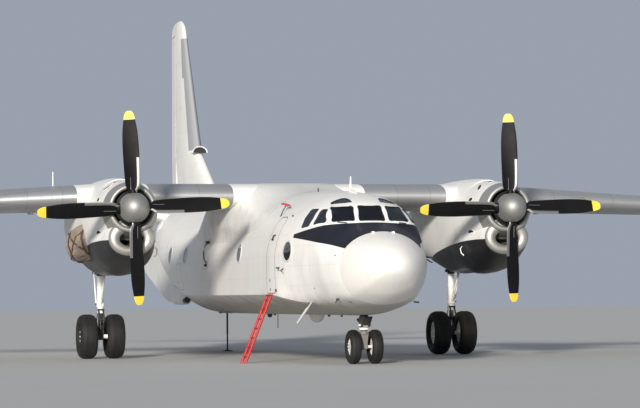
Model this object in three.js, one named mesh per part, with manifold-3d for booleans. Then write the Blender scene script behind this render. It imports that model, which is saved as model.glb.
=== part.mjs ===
// Twin turboprop transport aircraft, parked on its gear, as an assembly of named pieces.
// Millimetres. +X is the port (left) wing, +Y runs aft, +Z is up.
// The origin is on the ground, on the centreline, half way along the length.
import * as THREE from "three";
import { mergeVertices } from "three/addons/utils/BufferGeometryUtils.js";
import Module from "manifold-3d";

const wasm = await Module();
wasm.setup();

// Driving dimensions.
const LENGTH = 23800;
const HALF_SPAN = 14600;
const FIN_TOP = 8575;
const FIT = 0.5; // gap kept where two fixed pieces meet
const RUN = 12; // gap kept round a moving surface
const END_RUN = 35; // and at its ends, which swing sideways about a sloping hinge line
const PIN_FIT = 0.3; // gap round a hinge pin
const PIN_SIDES = 24;
const at = (station) => station - LENGTH / 2; // a station, counted from the nose tip, as a Y

const FLOOR_Z = 1450; // cargo floor
const SKIN = 70; // cabin wall
const COCKPIT_SKIN = 45;
const COCKPIT_START = 1000; // stations of the fuselage joints
const CABIN_START = 3300;
const RAMP_START = 16000;
const TAIL_START = 21300;

const ENGINE_X = 3950; // half the distance between the propellers
const ENGINE_Z = 3112;
const PROP_STATION = 5550;
const PROP_RADIUS = 1950;

const MAIN_GEAR_STATION = 10100;
const NOSE_GEAR_STATION = 2450;
const MAIN_TYRE = { radius: 480, width: 390, apart: 590, rim: 270 };
const NOSE_TYRE = { radius: 330, width: 220, apart: 430, rim: 170 };

const paint = (color, roughness, metalness = 0) =>
  new THREE.MeshStandardMaterial({ color, roughness, metalness });
const WHITE = paint(0xece8e0, 0.4);
const BLACK = paint(0x17171a, 0.6);
const BARE_METAL = paint(0x8f9095, 0.35, 0.8);
const RUBBER = paint(0x1d1c1b, 0.85);
const WHEEL_METAL = paint(0xd8d8d4, 0.4, 0.3);
const GEAR_STEEL = paint(0xb9bab8, 0.35, 0.7);
const GLASS = paint(0x1c2430, 0.1);
GLASS.transparent = true;
GLASS.opacity = 0.4;
const INTERIOR = paint(0x57646a, 0.7);
const CANVAS = paint(0x7a6656, 0.95);
const RED = paint(0xc8201c, 0.5);

const root = new THREE.Group();

// Helpers for solids.

function solidOf(geometry) {
  let bare = geometry.clone();
  for (const name of ["normal", "uv"]) bare.deleteAttribute(name);
  bare = mergeVertices(bare, 1e-3);
  const vertProperties = bare.attributes.position.array;
  const triVerts = new Uint32Array(bare.index.array);
  return new wasm.Manifold(new wasm.Mesh({ numProp: 3, vertProperties, triVerts }));
}

function geometryOf(solid) {
  const mesh = solid.getMesh();
  const geometry = new THREE.BufferGeometry();
  const positions = Float32Array.from(mesh.vertProperties);
  geometry.setAttribute("position", new THREE.BufferAttribute(positions, 3));
  geometry.setIndex(new THREE.BufferAttribute(Uint32Array.from(mesh.triVerts), 1));
  geometry.computeVertexNormals();
  return geometry;
}

function add(name, shape, material, parent = root) {
  const mesh = new THREE.Mesh(shape.isBufferGeometry ? shape : geometryOf(shape), material);
  mesh.name = name;
  parent.add(mesh);
  return mesh;
}

// A closed skin through rings of points, with a flat cap on each end.
function loft(rings) {
  const count = rings[0].length;
  const points = rings.flat();
  const faces = [];
  for (let r = 0; r + 1 < rings.length; r++)
    for (let i = 0; i < count; i++) {
      const next = (i + 1) % count;
      const a = r * count + i;
      const b = r * count + next;
      // The diagonals of one side mirror those of the other.
      if (rings[r][i].x + rings[r][next].x < 0) faces.push(a, b, b + count, a, b + count, a + count);
      else faces.push(a, b, a + count, b, b + count, a + count);
    }
  for (const [ring, first, turn] of [
    [rings[0], 0, true],
    [rings.at(-1), (rings.length - 1) * count, false],
  ]) {
    const middle = new THREE.Vector3();
    for (const p of ring) middle.addScaledVector(p, 1 / count);
    const m = points.push(middle) - 1;
    for (let i = 0; i < count; i++) {
      const a = first + i;
      const b = first + ((i + 1) % count);
      faces.push(...(turn ? [b, a, m] : [a, b, m]));
    }
  }
  const geometry = new THREE.BufferGeometry().setFromPoints(points);
  geometry.setIndex(faces);
  let solid = solidOf(geometry);
  if (solid.volume() < 0) {
    for (let i = 0; i < faces.length; i += 3) [faces[i + 1], faces[i + 2]] = [faces[i + 2], faces[i + 1]];
    geometry.setIndex(faces);
    solid = solidOf(geometry);
  }
  return solid;
}

function box(x0, x1, y0, y1, z0, z1) {
  const geometry = new THREE.BoxGeometry(x1 - x0, y1 - y0, z1 - z0);
  return solidOf(geometry.translate((x0 + x1) / 2, (y0 + y1) / 2, (z0 + z1) / 2));
}

function extrude(outline, depth, basis, offset) {
  const shape = new THREE.Shape(outline.map(([a, b]) => new THREE.Vector2(a, b)));
  const geometry = new THREE.ExtrudeGeometry(shape, { depth, bevelEnabled: false, curveSegments: 6 });
  geometry.applyMatrix4(new THREE.Matrix4().makeBasis(...basis));
  return solidOf(geometry.translate(...offset));
}

const X = new THREE.Vector3(1, 0, 0);
const Y = new THREE.Vector3(0, 1, 0);
const Z = new THREE.Vector3(0, 0, 1);
const prismX = (outlineYZ, x0, x1) => extrude(outlineYZ, x1 - x0, [Y, Z, X], [x0, 0, 0]);
const prismY = (outlineXZ, y0, y1) => extrude(outlineXZ, y1 - y0, [X, Z, Y.clone().negate()], [0, y1, 0]);
const prismZ = (outlineXY, z0, z1) => extrude(outlineXY, z1 - z0, [X, Y, Z], [0, 0, z0]);

// A round bar or cone from one point to another.
function bar(from, to, radiusFrom, radiusTo = radiusFrom, sides = 10) {
  const a = new THREE.Vector3(...from);
  const b = new THREE.Vector3(...to);
  const along = b.clone().sub(a);
  const geometry = new THREE.CylinderGeometry(radiusTo, radiusFrom, along.length(), sides);
  geometry.applyQuaternion(new THREE.Quaternion().setFromUnitVectors(Y, along.normalize()));
  const middle = a.add(b).multiplyScalar(0.5);
  return solidOf(geometry.translate(middle.x, middle.y, middle.z));
}

const mirrorX = (solid) => solid.mirror([1, 0, 0]);
const join = (...solids) => solids.reduce((a, b) => a.add(b));
const cut = (solid, ...tools) => tools.reduce((a, b) => a.subtract(b), solid);

// Fuselage. Columns: station, half width, height of the widest point, top, half width and height
// of the chine where the side meets the belly, lowest point of the belly, and power of the roof's
// curve: 2 is an ellipse, and more is squarer.
const FUSELAGE = [
  [0, 60, 1840, 1895, 50, 1815, 1795, 2],
  [80, 270, 1850, 2060, 205, 1700, 1650, 2],
  [250, 450, 1850, 2210, 335, 1580, 1490, 2],
  [550, 650, 1860, 2370, 485, 1430, 1290, 2],
  [1050, 880, 1880, 2540, 650, 1290, 1115, 2],
  [1450, 990, 1900, 2640, 740, 1240, 1035, 2],
  [1680, 1045, 1920, 2715, 770, 1210, 990, 2.1],
  [1980, 1090, 1950, 3030, 815, 1195, 955, 2.3],
  [2200, 1125, 1975, 3125, 860, 1190, 942, 2.4],
  [2450, 1175, 2000, 3200, 925, 1188, 935, 2.4],
  [2900, 1265, 2025, 3290, 1050, 1195, 930, 2.3],
  [3300, 1345, 2025, 3340, 1190, 1232, 930, 2.15],
  [3900, 1425, 2015, 3385, 1400, 1320, 930, 2.05],
  [4400, 1450, 2005, 3412, 1435, 1350, 930, 2],
  [5200, 1450, 2000, 3440, 1440, 1350, 930, 2],
  [6000, 1450, 2000, 3450, 1440, 1350, 930, 2],
  [12500, 1450, 2000, 3450, 1440, 1350, 930, 2],
  [14500, 1445, 2060, 3475, 1290, 1375, 935, 2],
  [16000, 1420, 2170, 3520, 1170, 1480, 950, 2],
  [17500, 1340, 2380, 3570, 1110, 1840, 1440, 2],
  [19000, 1180, 2650, 3600, 990, 2250, 1930, 2],
  [20500, 920, 2950, 3600, 780, 2640, 2420, 2],
  [21300, 760, 3060, 3595, 640, 2820, 2670, 2],
  [22300, 500, 3180, 3560, 410, 3000, 2900, 2],
  [23200, 270, 3260, 3480, 220, 3140, 3080, 2],
  [23800, 70, 3300, 3360, 55, 3270, 3250, 2],
].map(([station, wide, mid, top, chineX, chineZ, belly, power]) => ({
  station, wide, mid, top, chineX, chineZ, belly, power,
}));

// The fuselage's section at any station, between two rows of the table.
function fuselageAt(station) {
  const last = FUSELAGE.findIndex((row) => row.station >= station);
  const b = FUSELAGE[Math.max(last, 1)];
  const a = FUSELAGE[Math.max(last, 1) - 1];
  const t = (station - a.station) / (b.station - a.station);
  return Object.fromEntries(Object.keys(a).map((key) => [key, a[key] + (b[key] - a[key]) * t]));
}

const ROOF_STEPS = 14;
const SIDE_STEPS = 2;
const BELLY_STEPS = 6;

function fuselageRing(row, grow) {
  const wide = row.wide + grow;
  const top = row.top + grow;
  const belly = row.belly - grow;
  const chineX = row.chineX + grow * 0.9;
  const chineZ = row.chineZ - grow * 0.6;
  const deep = (row.mid - chineZ) / Math.sqrt(1 - (chineX / wide) ** 2);
  const chineAngle = Math.acos(chineX / wide);
  const points = [];
  for (let i = 0; i <= ROOF_STEPS; i++) {
    const a = (Math.PI * i) / ROOF_STEPS;
    const c = Math.cos(a);
    const across = Math.sign(c) * Math.abs(c) ** (2 / row.power);
    points.push([wide * across, row.mid + (top - row.mid) * Math.abs(Math.sin(a)) ** (2 / row.power)]);
  }
  const side = [];
  for (let i = 1; i <= SIDE_STEPS; i++) {
    const a = (chineAngle * i) / SIDE_STEPS;
    side.push([wide * Math.cos(a), row.mid - deep * Math.sin(a)]);
  }
  for (const [x, z] of side) points.push([-x, z]);
  for (let i = 1; i < BELLY_STEPS; i++) {
    const x = chineX * ((2 * i) / BELLY_STEPS - 1);
    points.push([x, belly + (chineZ - belly) * (x / chineX) ** 2]);
  }
  for (const [x, z] of side.reverse()) points.push([x, z]);
  return points.map(([x, z]) => new THREE.Vector3(x, at(row.station), z));
}

// The whole skin is lofted once for each offset, so that stretches cut from it meet exactly.
const skins = new Map();
const NARROWEST = 40; // half width of the smallest ring that is lofted
const wideEnough = (grow) => FUSELAGE.filter((row) => row.wide + grow > NARROWEST);
function fuselage(from, to, grow = 0) {
  if (!skins.has(grow))
    skins.set(grow, loft(wideEnough(grow).map((row) => fuselageRing(row, grow))));
  return skins.get(grow).intersect(box(-2000, 2000, at(from), at(to), 0, 5000));
}

// Wing and tail surfaces. A section is a thick rounded nose that tapers to a blunt trailing edge.
const CHORD_STEPS = [0.012, 0.05, 0.14, 0.3, 0.5, 0.72, 1];

// Half thickness of the section at a share of its chord, as a share of its greatest thickness.
const thickness = (share) =>
  5 *
  (0.2969 * Math.sqrt(share) -
    0.126 * share -
    0.3516 * share ** 2 +
    0.2843 * share ** 3 -
    0.0975 * share ** 4);
const EDGE_SHARE = 0.002; // half thickness of the blunt trailing edge, as a share of the chord

function sectionPoints({ chord, thick, camber = 0 }, grow) {
  const upper = CHORD_STEPS.map((u) => [u, thick * thickness(u) + EDGE_SHARE, camber * 4 * u * (1 - u)]);
  const out = ([u, half, bend], sign) => [
    u * chord + (u > 0.9 ? 2 * grow : 0),
    (bend + sign * half) * chord + sign * 2 * grow,
  ];
  return [[-2 * grow, 0], ...upper.map((p) => out(p, 1)), ...upper.reverse().map((p) => out(p, -1))];
}

// Sections of a surface that reaches out along X, or up along Z with upright true.
function surface(rows, { upright = false, grow = 0 } = {}) {
  return loft(
    rows.map((row) => {
      const c = Math.cos(row.incidence ?? 0);
      const s = Math.sin(row.incidence ?? 0);
      return sectionPoints(row, grow).map(([u, v]) =>
        upright
          ? new THREE.Vector3(v, at(row.lead) + u, row.out)
          : new THREE.Vector3(row.out, at(row.lead) + u * c + v * s, row.z - u * s + v * c),
      );
    }),
  );
}

// A point on a surface's hinge line and the half thickness there, between two rows.
function hingeAt(rows, out, share) {
  const b = rows.find((row) => row.out >= out) ?? rows.at(-1);
  const a = rows[rows.indexOf(b) - 1];
  const t = (out - a.out) / (b.out - a.out);
  const mix = (key) => (a[key] ?? 0) + ((b[key] ?? 0) - (a[key] ?? 0)) * t;
  const chord = mix("chord");
  const u = share * chord;
  const v = mix("camber") * 4 * share * (1 - share) * chord;
  const tilt = mix("incidence");
  // The skin runs straight between two rows, so its depth is mixed, and not its share of the chord.
  const deep = a.thick * a.chord + (b.thick * b.chord - a.thick * a.chord) * t;
  return {
    out,
    y: at(mix("lead")) + u * Math.cos(tilt) + v * Math.sin(tilt),
    z: mix("z") - u * Math.sin(tilt) + v * Math.cos(tilt),
    half: deep * thickness(share) + EDGE_SHARE * chord,
  };
}

// Splits a moving surface off a fixed one along a hinge line between two ends, each with how far
// out it is, its place and its half thickness. The moving piece's nose is a cone about that line,
// and it turns on a pin that reaches into the fixed piece past both ends.
const HINGE_PIN = { radius: 14, reach: 60 };
function splitAtHinge(whole, [a, b], upright = false) {
  const along = (out) => {
    const t = (out - a.out) / (b.out - a.out);
    const mix = (key) => a[key] + (b[key] - a[key]) * t;
    return { out, y: mix("y"), z: mix("z"), half: mix("half") };
  };
  const ends = (gap) => [along(a.out - gap), along(b.out + gap)];
  const far = 3500; // past any trailing edge
  const zone = (gap, ahead) => {
    const [p, q] = ends(gap);
    const outline = [[p.out, p.y - ahead], [q.out, q.y - ahead], [q.out, q.y + far], [p.out, p.y + far]];
    return upright ? prismX(outline.map(([o, y]) => [y, o]), -1500, 1500) : prismZ(outline, 0, 6000);
  };
  const place = (end) => (upright ? [0, end.y, end.out] : [end.out, end.y, end.z]);
  const cone = (gap, grow) => {
    const [p, q] = ends(gap);
    return bar(place(p), place(q), p.half + grow, q.half + grow, 14);
  };
  const pin = (grow) => {
    const radius = HINGE_PIN.radius + grow;
    return bar(...ends(HINGE_PIN.reach + grow).map(place), radius, radius, PIN_SIDES);
  };
  const moving = join(whole.intersect(zone(0, 0)), cone(0, -4)).intersect(zone(0, 1000));
  return {
    moving: join(moving, pin(0)),
    fixed: cut(whole, zone(END_RUN, RUN / 2), cone(END_RUN, RUN - 2), pin(PIN_FIT)),
  };
}

const degrees = (d) => (d * Math.PI) / 180;

const WING_INCIDENCE = degrees(2.5);
const WING_JOINT = 4200;
const ANHEDRAL = Math.tan(degrees(2.2));
const SWEEP = Math.tan(degrees(9.68));
const WING_Z = 3450;
const WING_LEAD = 7900;
const ROOT_CHORD = 3500;
const TIP_CHORD = 1150;
const wingRow = (out, chord, thick) => ({
  out,
  chord,
  thick,
  camber: 0.015,
  incidence: WING_INCIDENCE,
  lead: WING_LEAD + (out - WING_JOINT) * SWEEP,
  z: WING_Z - (out - WING_JOINT) * ANHEDRAL,
});
const OUTER_WING = [
  wingRow(WING_JOINT, ROOT_CHORD, 0.16),
  wingRow(14300, TIP_CHORD, 0.13),
  { ...wingRow(HALF_SPAN - 60, 820, 0.11), lead: 9700 },
  { ...wingRow(HALF_SPAN, 420, 0.09), lead: 9930 },
];
const outerWing = (grow = 0) => surface(OUTER_WING, { grow });
const centreWing = (grow = 0) =>
  surface(
    [-WING_JOINT, WING_JOINT].map((out) => ({ ...wingRow(WING_JOINT, ROOT_CHORD, 0.16), out })),
    { grow },
  ).intersect(box(-WING_JOINT + FIT / 2, WING_JOINT - FIT / 2, -12000, 12000, 0, 9000));

// Radome, cockpit and cabin.

add("radome", fuselage(0, COCKPIT_START - FIT), WHITE);

// Windscreen and side windows, each an outline seen from the front (x, z) or from the side (station, z).
const mirrored = (outline) => outline.map(([x, z]) => [-x, z]).reverse();
const CENTRE_PANE = [[-256, 2733], [256, 2733], [230, 3036], [-230, 3036]];
const FRONT_PANE = [[330, 2733], [738, 2714], [690, 3012], [303, 3030]];
const EYEBROW = [
  [290, 3120], [450, 3095], [628, 3076], [600, 3110], [500, 3162], [390, 3185], [335, 3168],
];
const SIDE_PANES = [
  [[1975, 2706], [2290, 2686], [2395, 2970], [2310, 2978]],
  [[2510, 2655], [2730, 2630], [2840, 2990], [2610, 2996]],
];
const PANE_DEPTH = [at(1400), at(2750)];

function windowCuts() {
  const cuts = [prismY(CENTRE_PANE, ...PANE_DEPTH)];
  for (const outline of [FRONT_PANE, EYEBROW])
    cuts.push(prismY(outline, ...PANE_DEPTH), prismY(mirrored(outline), ...PANE_DEPTH));
  for (const outline of SIDE_PANES) cuts.push(prismX(outline.map(([s, z]) => [at(s), z]), -1500, 1500));
  return cuts;
}

const cockpitRoom = fuselage(1150, CABIN_START + 10, -COCKPIT_SKIN).intersect(
  box(-2000, 2000, at(1150), at(CABIN_START + 10), FLOOR_Z, 4000),
);
const noseLegSocket = bar([0, at(NOSE_GEAR_STATION), 800], [0, at(NOSE_GEAR_STATION), 1060], 80 + FIT);
add(
  "cockpit_shell",
  cut(fuselage(COCKPIT_START, CABIN_START - FIT), cockpitRoom, ...windowCuts(), noseLegSocket),
  WHITE,
);
const GLASS_THICK = 14;
const glazingBand = box(-1400, 1400, at(1600), at(2950), 2540, 3230);
add(
  "cockpit_glazing",
  cut(
    fuselage(1550, 3000, -COCKPIT_SKIN - FIT),
    fuselage(1500, 3100, -COCKPIT_SKIN - GLASS_THICK),
  ).intersect(glazingBand),
  GLASS,
);

const FRONT_RING = 4760;
const REAR_RING = 13400;
const wholeCabin = fuselage(CABIN_START, RAMP_START - FIT);
const DOOR = { from: 3930, to: 4600, low: 1375, high: 2885, corner: 130 };

function doorZone(gap) {
  const { from, to, low, high, corner } = DOOR;
  const outline = [
    [from + gap, low + gap],
    [to - gap, low + gap],
    [to - gap, high - corner],
    [to - corner, high - gap],
    [from + corner, high - gap],
    [from + gap, high - corner],
  ];
  return prismX(outline.map(([s, z]) => [at(s), z]), -2000, -600);
}

const cabinSkin = cut(wholeCabin, fuselage(CABIN_START - 50, RAMP_START + 50, -SKIN));
const above = (z) => box(-2000, 2000, -12000, 12000, z, 5000);
const below = (z) => box(-2000, 2000, -12000, 12000, 0, z);
const STAY_TOP = 985;
const STAY_STATION = 15850;
const STAY_RADIUS = 22;
const supportSocket = bar(
  [0, at(STAY_STATION), 800],
  [0, at(STAY_STATION), STAY_TOP + 10],
  STAY_RADIUS + FIT,
);
add("crew_door", cabinSkin.intersect(doorZone(5)), WHITE);
// The hold's skin is built in three sections that meet at ring frames.
const holdSkin = cut(cabinSkin.intersect(above(FLOOR_Z + FIT)), doorZone(0), centreWing(FIT));
for (const [name, from, to] of [
  ["cabin_shell_front", CABIN_START, FRONT_RING - FIT],
  ["cabin_shell", FRONT_RING, REAR_RING - FIT],
  ["cabin_shell_rear", REAR_RING, RAMP_START],
])
  add(name, holdSkin.intersect(box(-2000, 2000, at(from), at(to), 0, 5000)), WHITE);
add(
  "cockpit_bulkhead",
  fuselage(CABIN_START + 20, CABIN_START + 60, -SKIN - FIT).intersect(above(FLOOR_Z + FIT)),
  INTERIOR,
);

// White fairing over the wing where it crosses the fuselage.
// Columns: station, half width, top, height of the shoulder.
const SADDLE = [
  [6700, 600, 3465, 3200],
  [7400, 1150, 3530, 3050],
  [7850, 1435, 3650, 2900],
  [8400, 1445, 3745, 2900],
  [10600, 1445, 3745, 2900],
  [11800, 1390, 3640, 2950],
  [13200, 600, 3475, 3200],
];
const SADDLE_FOOT = 40; // how far its foot leans in under the fuselage's side
const SADDLE_ARC = [0, 0.15, 0.35, 0.6, 0.85, 1]; // shares of a quarter turn
function saddleRing([station, wide, top, shoulder]) {
  const corner = Math.min(380, wide * 0.4);
  const half = SADDLE_ARC.map((share) => {
    const a = (share * Math.PI) / 2;
    return [wide - corner + corner * Math.cos(a), top - corner * 0.62 + corner * 0.62 * Math.sin(a)];
  });
  const side = [[wide - SADDLE_FOOT, shoulder], ...half];
  const outline = [...side, ...side.map(([x, z]) => [-x, z]).reverse()];
  return outline.map(([x, z]) => new THREE.Vector3(x, at(station), z));
}
const keptSaddle = cut(loft(SADDLE.map(saddleRing)), fuselage(5000, 15000, FIT), centreWing(FIT));
add("wing_saddle", keptSaddle.decompose().sort((a, b) => b.volume() - a.volume())[0], WHITE);

// Cockpit fittings that show through the glass.
const seat = (x) =>
  join(
    box(x - 240, x + 240, at(2560), at(3010), FLOOR_Z + 330, FLOOR_Z + 450),
    box(x - 240, x + 240, at(2960), at(3080), FLOOR_Z + 330, FLOOR_Z + 1180),
    box(x - 130, x + 130, at(2680), at(2940), FLOOR_Z + FIT, FLOOR_Z + 340),
  );
add("pilot_seat_port", seat(480), INTERIOR);
add("pilot_seat_starboard", seat(-480), INTERIOR);
add(
  "instrument_panel",
  join(
    box(-850, 850, at(2040), at(2120), 1900, 2500),
    box(-160, 160, at(2050), at(2500), FLOOR_Z + FIT, 2050),
    ...[-480, 480].map((x) => bar([x, at(2020), 2150], [x, at(2330), 2180], 25)),
    ...[-480, 480].map((x) => box(x - 170, x + 170, at(2310), at(2345), 2120, 2240)),
  ),
  INTERIOR,
);

// Rear fuselage with the ramp opening, the ramp and the tail cone.
const RAMP_HALF_WIDTH = 1050;
const RAMP_DEEP = 260;
const RAMP_GAP = 15;
const RAMP_END = 19600;
const hinge = { station: RAMP_START + 20, z: fuselageAt(RAMP_START).belly - 5 };
const beltAt = (station) => fuselageAt(station).belly;
const rampReach = Math.hypot(RAMP_END - hinge.station, beltAt(RAMP_END) - hinge.z);
const rampTopEnd = (() => {
  // The end face is a chord of the circle that it sweeps about the hinge.
  const z = beltAt(RAMP_END) + RAMP_DEEP - 30 - hinge.z;
  return [hinge.station + Math.sqrt(rampReach ** 2 - z ** 2), z + hinge.z];
})();

// Side view of the ramp, or of the opening that it closes, which is open above the ramp too.
function rampPrism(gap, topRise = 0) {
  const outline = [
    [hinge.station - 2 * gap, 500],
    [RAMP_END + gap + 1000, 500],
    [RAMP_END + gap, beltAt(RAMP_END) - 80],
    [rampTopEnd[0] + gap, rampTopEnd[1]],
    [rampTopEnd[0] + gap, rampTopEnd[1] + topRise],
    [hinge.station - 2 * gap, FLOOR_Z + topRise],
  ];
  const sides = topRise ? outline : outline.filter((point, i) => i !== 4);
  return prismX(sides.map(([s, z]) => [at(s), z]), -RAMP_HALF_WIDTH - gap, RAMP_HALF_WIDTH + gap);
}
const rear = fuselage(RAMP_START, TAIL_START - FIT);
const hold = fuselage(RAMP_START - 50, TAIL_START, -55);
add("rear_fuselage", cut(rear, hold, rampPrism(RAMP_GAP, 900)), WHITE);
const RAMP_PIN = { radius: 12, half: 175, lug: [100, 160], lugRadius: 25 };
const hingeBar = (x0, x1, radius) =>
  bar([x0, at(hinge.station), hinge.z], [x1, at(hinge.station), hinge.z], radius, radius, PIN_SIDES);
const lugRoom = box(90, 170, at(hinge.station) - 30, at(hinge.station) + 45, hinge.z - 60, hinge.z + 70);
add(
  "cargo_ramp",
  join(
    cut(rear.intersect(rampPrism(0)), lugRoom, mirrorX(lugRoom)),
    box(-80, 80, at(hinge.station), at(hinge.station) + 40, hinge.z - RAMP_PIN.radius, hinge.z + 50),
    hingeBar(-RAMP_PIN.half, RAMP_PIN.half, RAMP_PIN.radius),
  ),
  WHITE,
);
const underFloorBay = fuselage(9200, RAMP_START + 50, -SKIN).intersect(below(FLOOR_Z - 110));
const rampLug = join(
  box(...RAMP_PIN.lug, at(RAMP_START) - 20, at(hinge.station), hinge.z, hinge.z + 60),
  hingeBar(...RAMP_PIN.lug, RAMP_PIN.lugRadius),
);
add(
  "cabin_floor",
  cut(
    join(cut(wholeCabin.intersect(below(FLOOR_Z)), underFloorBay), rampLug, mirrorX(rampLug)),
    cut(doorZone(0), fuselage(CABIN_START - 50, RAMP_START + 50, -SKIN - 1)),
    supportSocket,
    hingeBar(-RAMP_PIN.half, RAMP_PIN.half, RAMP_PIN.radius + PIN_FIT),
  ),
  WHITE,
);

add("tail_cone", cut(fuselage(TAIL_START, LENGTH), fuselage(TAIL_START - 50, 23300, -60)), WHITE);

// Ventral strake beside the ramp: a box fairing at its front that runs into a long low fin.
const STRAKE = [
  [14750, 1500], [14850, 1240], [15050, 1150], [16000, 1140],
  [17340, 1225], [18040, 1350], [18700, 1505], [19770, 1760],
  [20700, 1980], [20900, 2200], [20500, 2450], [19300, 2700],
];
const STRAKE_BOX = [
  [14750, 1470], [14850, 1240], [15050, 1150], [16000, 1140], [16500, 1300], [16500, 1700],
];
const strakePrism = (outline, wide) => prismX(outline.map(([s, z]) => [at(s), z]), 1095, wide);
const strake = cut(
  join(strakePrism(STRAKE, 1175), strakePrism(STRAKE_BOX, 1330)),
  fuselage(14000, 22000, FIT),
);
const strakePart = strake.decompose().sort((a, b) => b.volume() - a.volume())[0];

// Fin and rudder.
const FIN = [
  { out: 3450, lead: 16300, chord: 6700, thick: 0.055 },
  { out: 5000, lead: 19360, chord: 3740, thick: 0.1 },
  { out: 8250, lead: 21180, chord: 1920, thick: 0.09 },
  { out: 8480, lead: 21450, chord: 1500, thick: 0.08 },
  { out: FIN_TOP, lead: 21780, chord: 800, thick: 0.06 },
];
const finWhole = surface(FIN, { upright: true });
const finSkin = 35;
const finHollow = surface(FIN, { upright: true, grow: -finSkin / 2 }).intersect(
  prismX([[at(18000), 3300], [at(21350), 3300], [at(21700), 7900], [at(18000), 7900]], -300, 300),
);
// Ends of the rudder's hinge line, which stands a little ahead of upright.
const RUDDER_HINGE = [
  { out: 3900, y: at(21900), z: 0, half: 140 },
  { out: 8200, y: at(22280), z: 0, half: 80 },
];
const rudderSplit = splitAtHinge(finWhole, RUDDER_HINGE, true);
add("fin", cut(rudderSplit.fixed, fuselage(15000, LENGTH, FIT), finHollow).decompose()
  .sort((a, b) => b.volume() - a.volume())[0], WHITE);
add("rudder", cut(rudderSplit.moving, fuselage(15000, LENGTH, FIT)), WHITE);

// Tailplane and elevators, port side; the starboard one is its mirror image.
const TAIL_DIHEDRAL = Math.tan(degrees(9));
const tailRow = (out, lead, chord, thick) => ({
  out,
  lead,
  chord,
  thick,
  z: 3290 + (out - 300) * TAIL_DIHEDRAL,
});
const TAILPLANE = [
  tailRow(100, 19700, 2680, 0.11),
  tailRow(4850, 20900, 1380, 0.1),
  tailRow(4960, 21050, 1050, 0.09),
  tailRow(4986, 21250, 600, 0.08),
];
const ELEVATOR_HINGE = [900, 4750].map((out) => hingeAt(TAILPLANE, out, 0.68));
const tail = splitAtHinge(surface(TAILPLANE), ELEVATOR_HINGE);

// Outer wing with its flap and aileron, port side.
const FLAP_SHARE = 0.7;
function flapZone(from, to, gap, rowAt) {
  const line = (out) => rowAt(out);
  return prismZ(
    [
      [from - gap, line(from) - gap],
      [to + gap, line(to) - gap],
      [to + gap, at(14000)],
      [from - gap, at(14000)],
    ],
    0,
    6000,
  );
}
const flapLine = (out) =>
  out <= WING_JOINT ? at(WING_LEAD + FLAP_SHARE * ROOT_CHORD) : hingeAt(OUTER_WING, out, FLAP_SHARE).y;
const OUTER_FLAP = [4720, 9450];
const INNER_FLAP = [1530, 3230];
const AILERON_HINGE = [9560, 14150].map((out) => hingeAt(OUTER_WING, out, 0.74));
const outer = splitAtHinge(outerWing(), AILERON_HINGE);
const JACK_PAD = { x: 5600, station: 9000, radius: 60, z: 3085 };
const jackPad = (up) => [JACK_PAD.x, at(JACK_PAD.station), JACK_PAD.z + up];
const outerFixed = join(
  cut(outer.fixed, flapZone(...OUTER_FLAP, FIT, flapLine)),
  bar(jackPad(0), jackPad(130), JACK_PAD.radius),
);
const SIDES = [["port", 1], ["starboard", -1]];
const sideGroup = (sign) => {
  const group = new THREE.Group();
  group.scale.set(sign, 1, 1);
  root.add(group);
  return group;
};
const clearOfJoint = box(WING_JOINT + FIT / 2, 16000, -12000, 12000, 0, 9000);

const innerFlapZone = (gap) => flapZone(...INNER_FLAP, gap, flapLine);
add(
  "wing_centre",
  cut(centreWing(), innerFlapZone(FIT), mirrorX(innerFlapZone(FIT))),
  BARE_METAL,
);

// Nacelle. Columns: station, half width, widest point, top, bottom.
const COWL = [
  [5720, 465, 3112, 3577, 2650],
  [5780, 490, 3112, 3600, 2620],
  [6300, 600, 3050, 3680, 2430],
  [7200, 670, 2850, 3750, 1960],
];
const COOLER = [
  [5800, 415, 2520, 2845, 2215],
  [5860, 460, 2520, 2890, 2172],
  [6350, 550, 2480, 2900, 1950],
  [6750, 615, 2460, 2950, 1830],
  [7200, 655, 2500, 2950, 1780],
];
const COOLER_BORE = { wide: 240, high: 145, z: 2490 };
const NACELLE = [
  [7200, 665, 2800, 3765, 1779],
  [7600, 680, 2800, 3800, 1765],
  [8200, 690, 2800, 3825, 1800],
  [9000, 690, 2800, 3835, 1785],
  [9500, 688, 2810, 3835, 1830],
  [9900, 680, 2830, 3830, 1900],
  [10900, 650, 2900, 3785, 2110],
  [11700, 560, 2960, 3660, 2310],
  [12500, 400, 3000, 3430, 2510],
  [13100, 190, 3020, 3190, 2810],
];
const NACELLE_STEPS = 16;
function nacelleRing([station, wide, mid, top, bottom], grow) {
  const points = [];
  for (let i = 0; i < NACELLE_STEPS; i++) {
    const a = (2 * Math.PI * i) / NACELLE_STEPS;
    const c = Math.cos(a);
    const s = Math.sin(a);
    // The lower half is a little squarer than an ellipse.
    const x = s < 0 ? Math.sign(c) * Math.abs(c) ** 0.9 : c;
    const z = s < 0 ? -(Math.abs(s) ** 0.95) * (mid - bottom + grow) : s * (top - mid + grow);
    points.push(new THREE.Vector3((wide + grow) * x, at(station), mid + z));
  }
  return points;
}
const nacelleLoft = (rows, grow = 0) => loft(rows.map((row) => nacelleRing(row, grow)));
const axisBar = (z, from, to, radius, sides = 18) =>
  bar([0, at(from), z], [0, at(to), z], radius, radius, sides);

// Everything of a nacelle is made about the nacelle's own centreline, with outboard towards +X.
const EXHAUST = { from: [420, at(7900), 2530], to: [737, at(8395), 2405], radius: 250, mouth: 225 };
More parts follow.
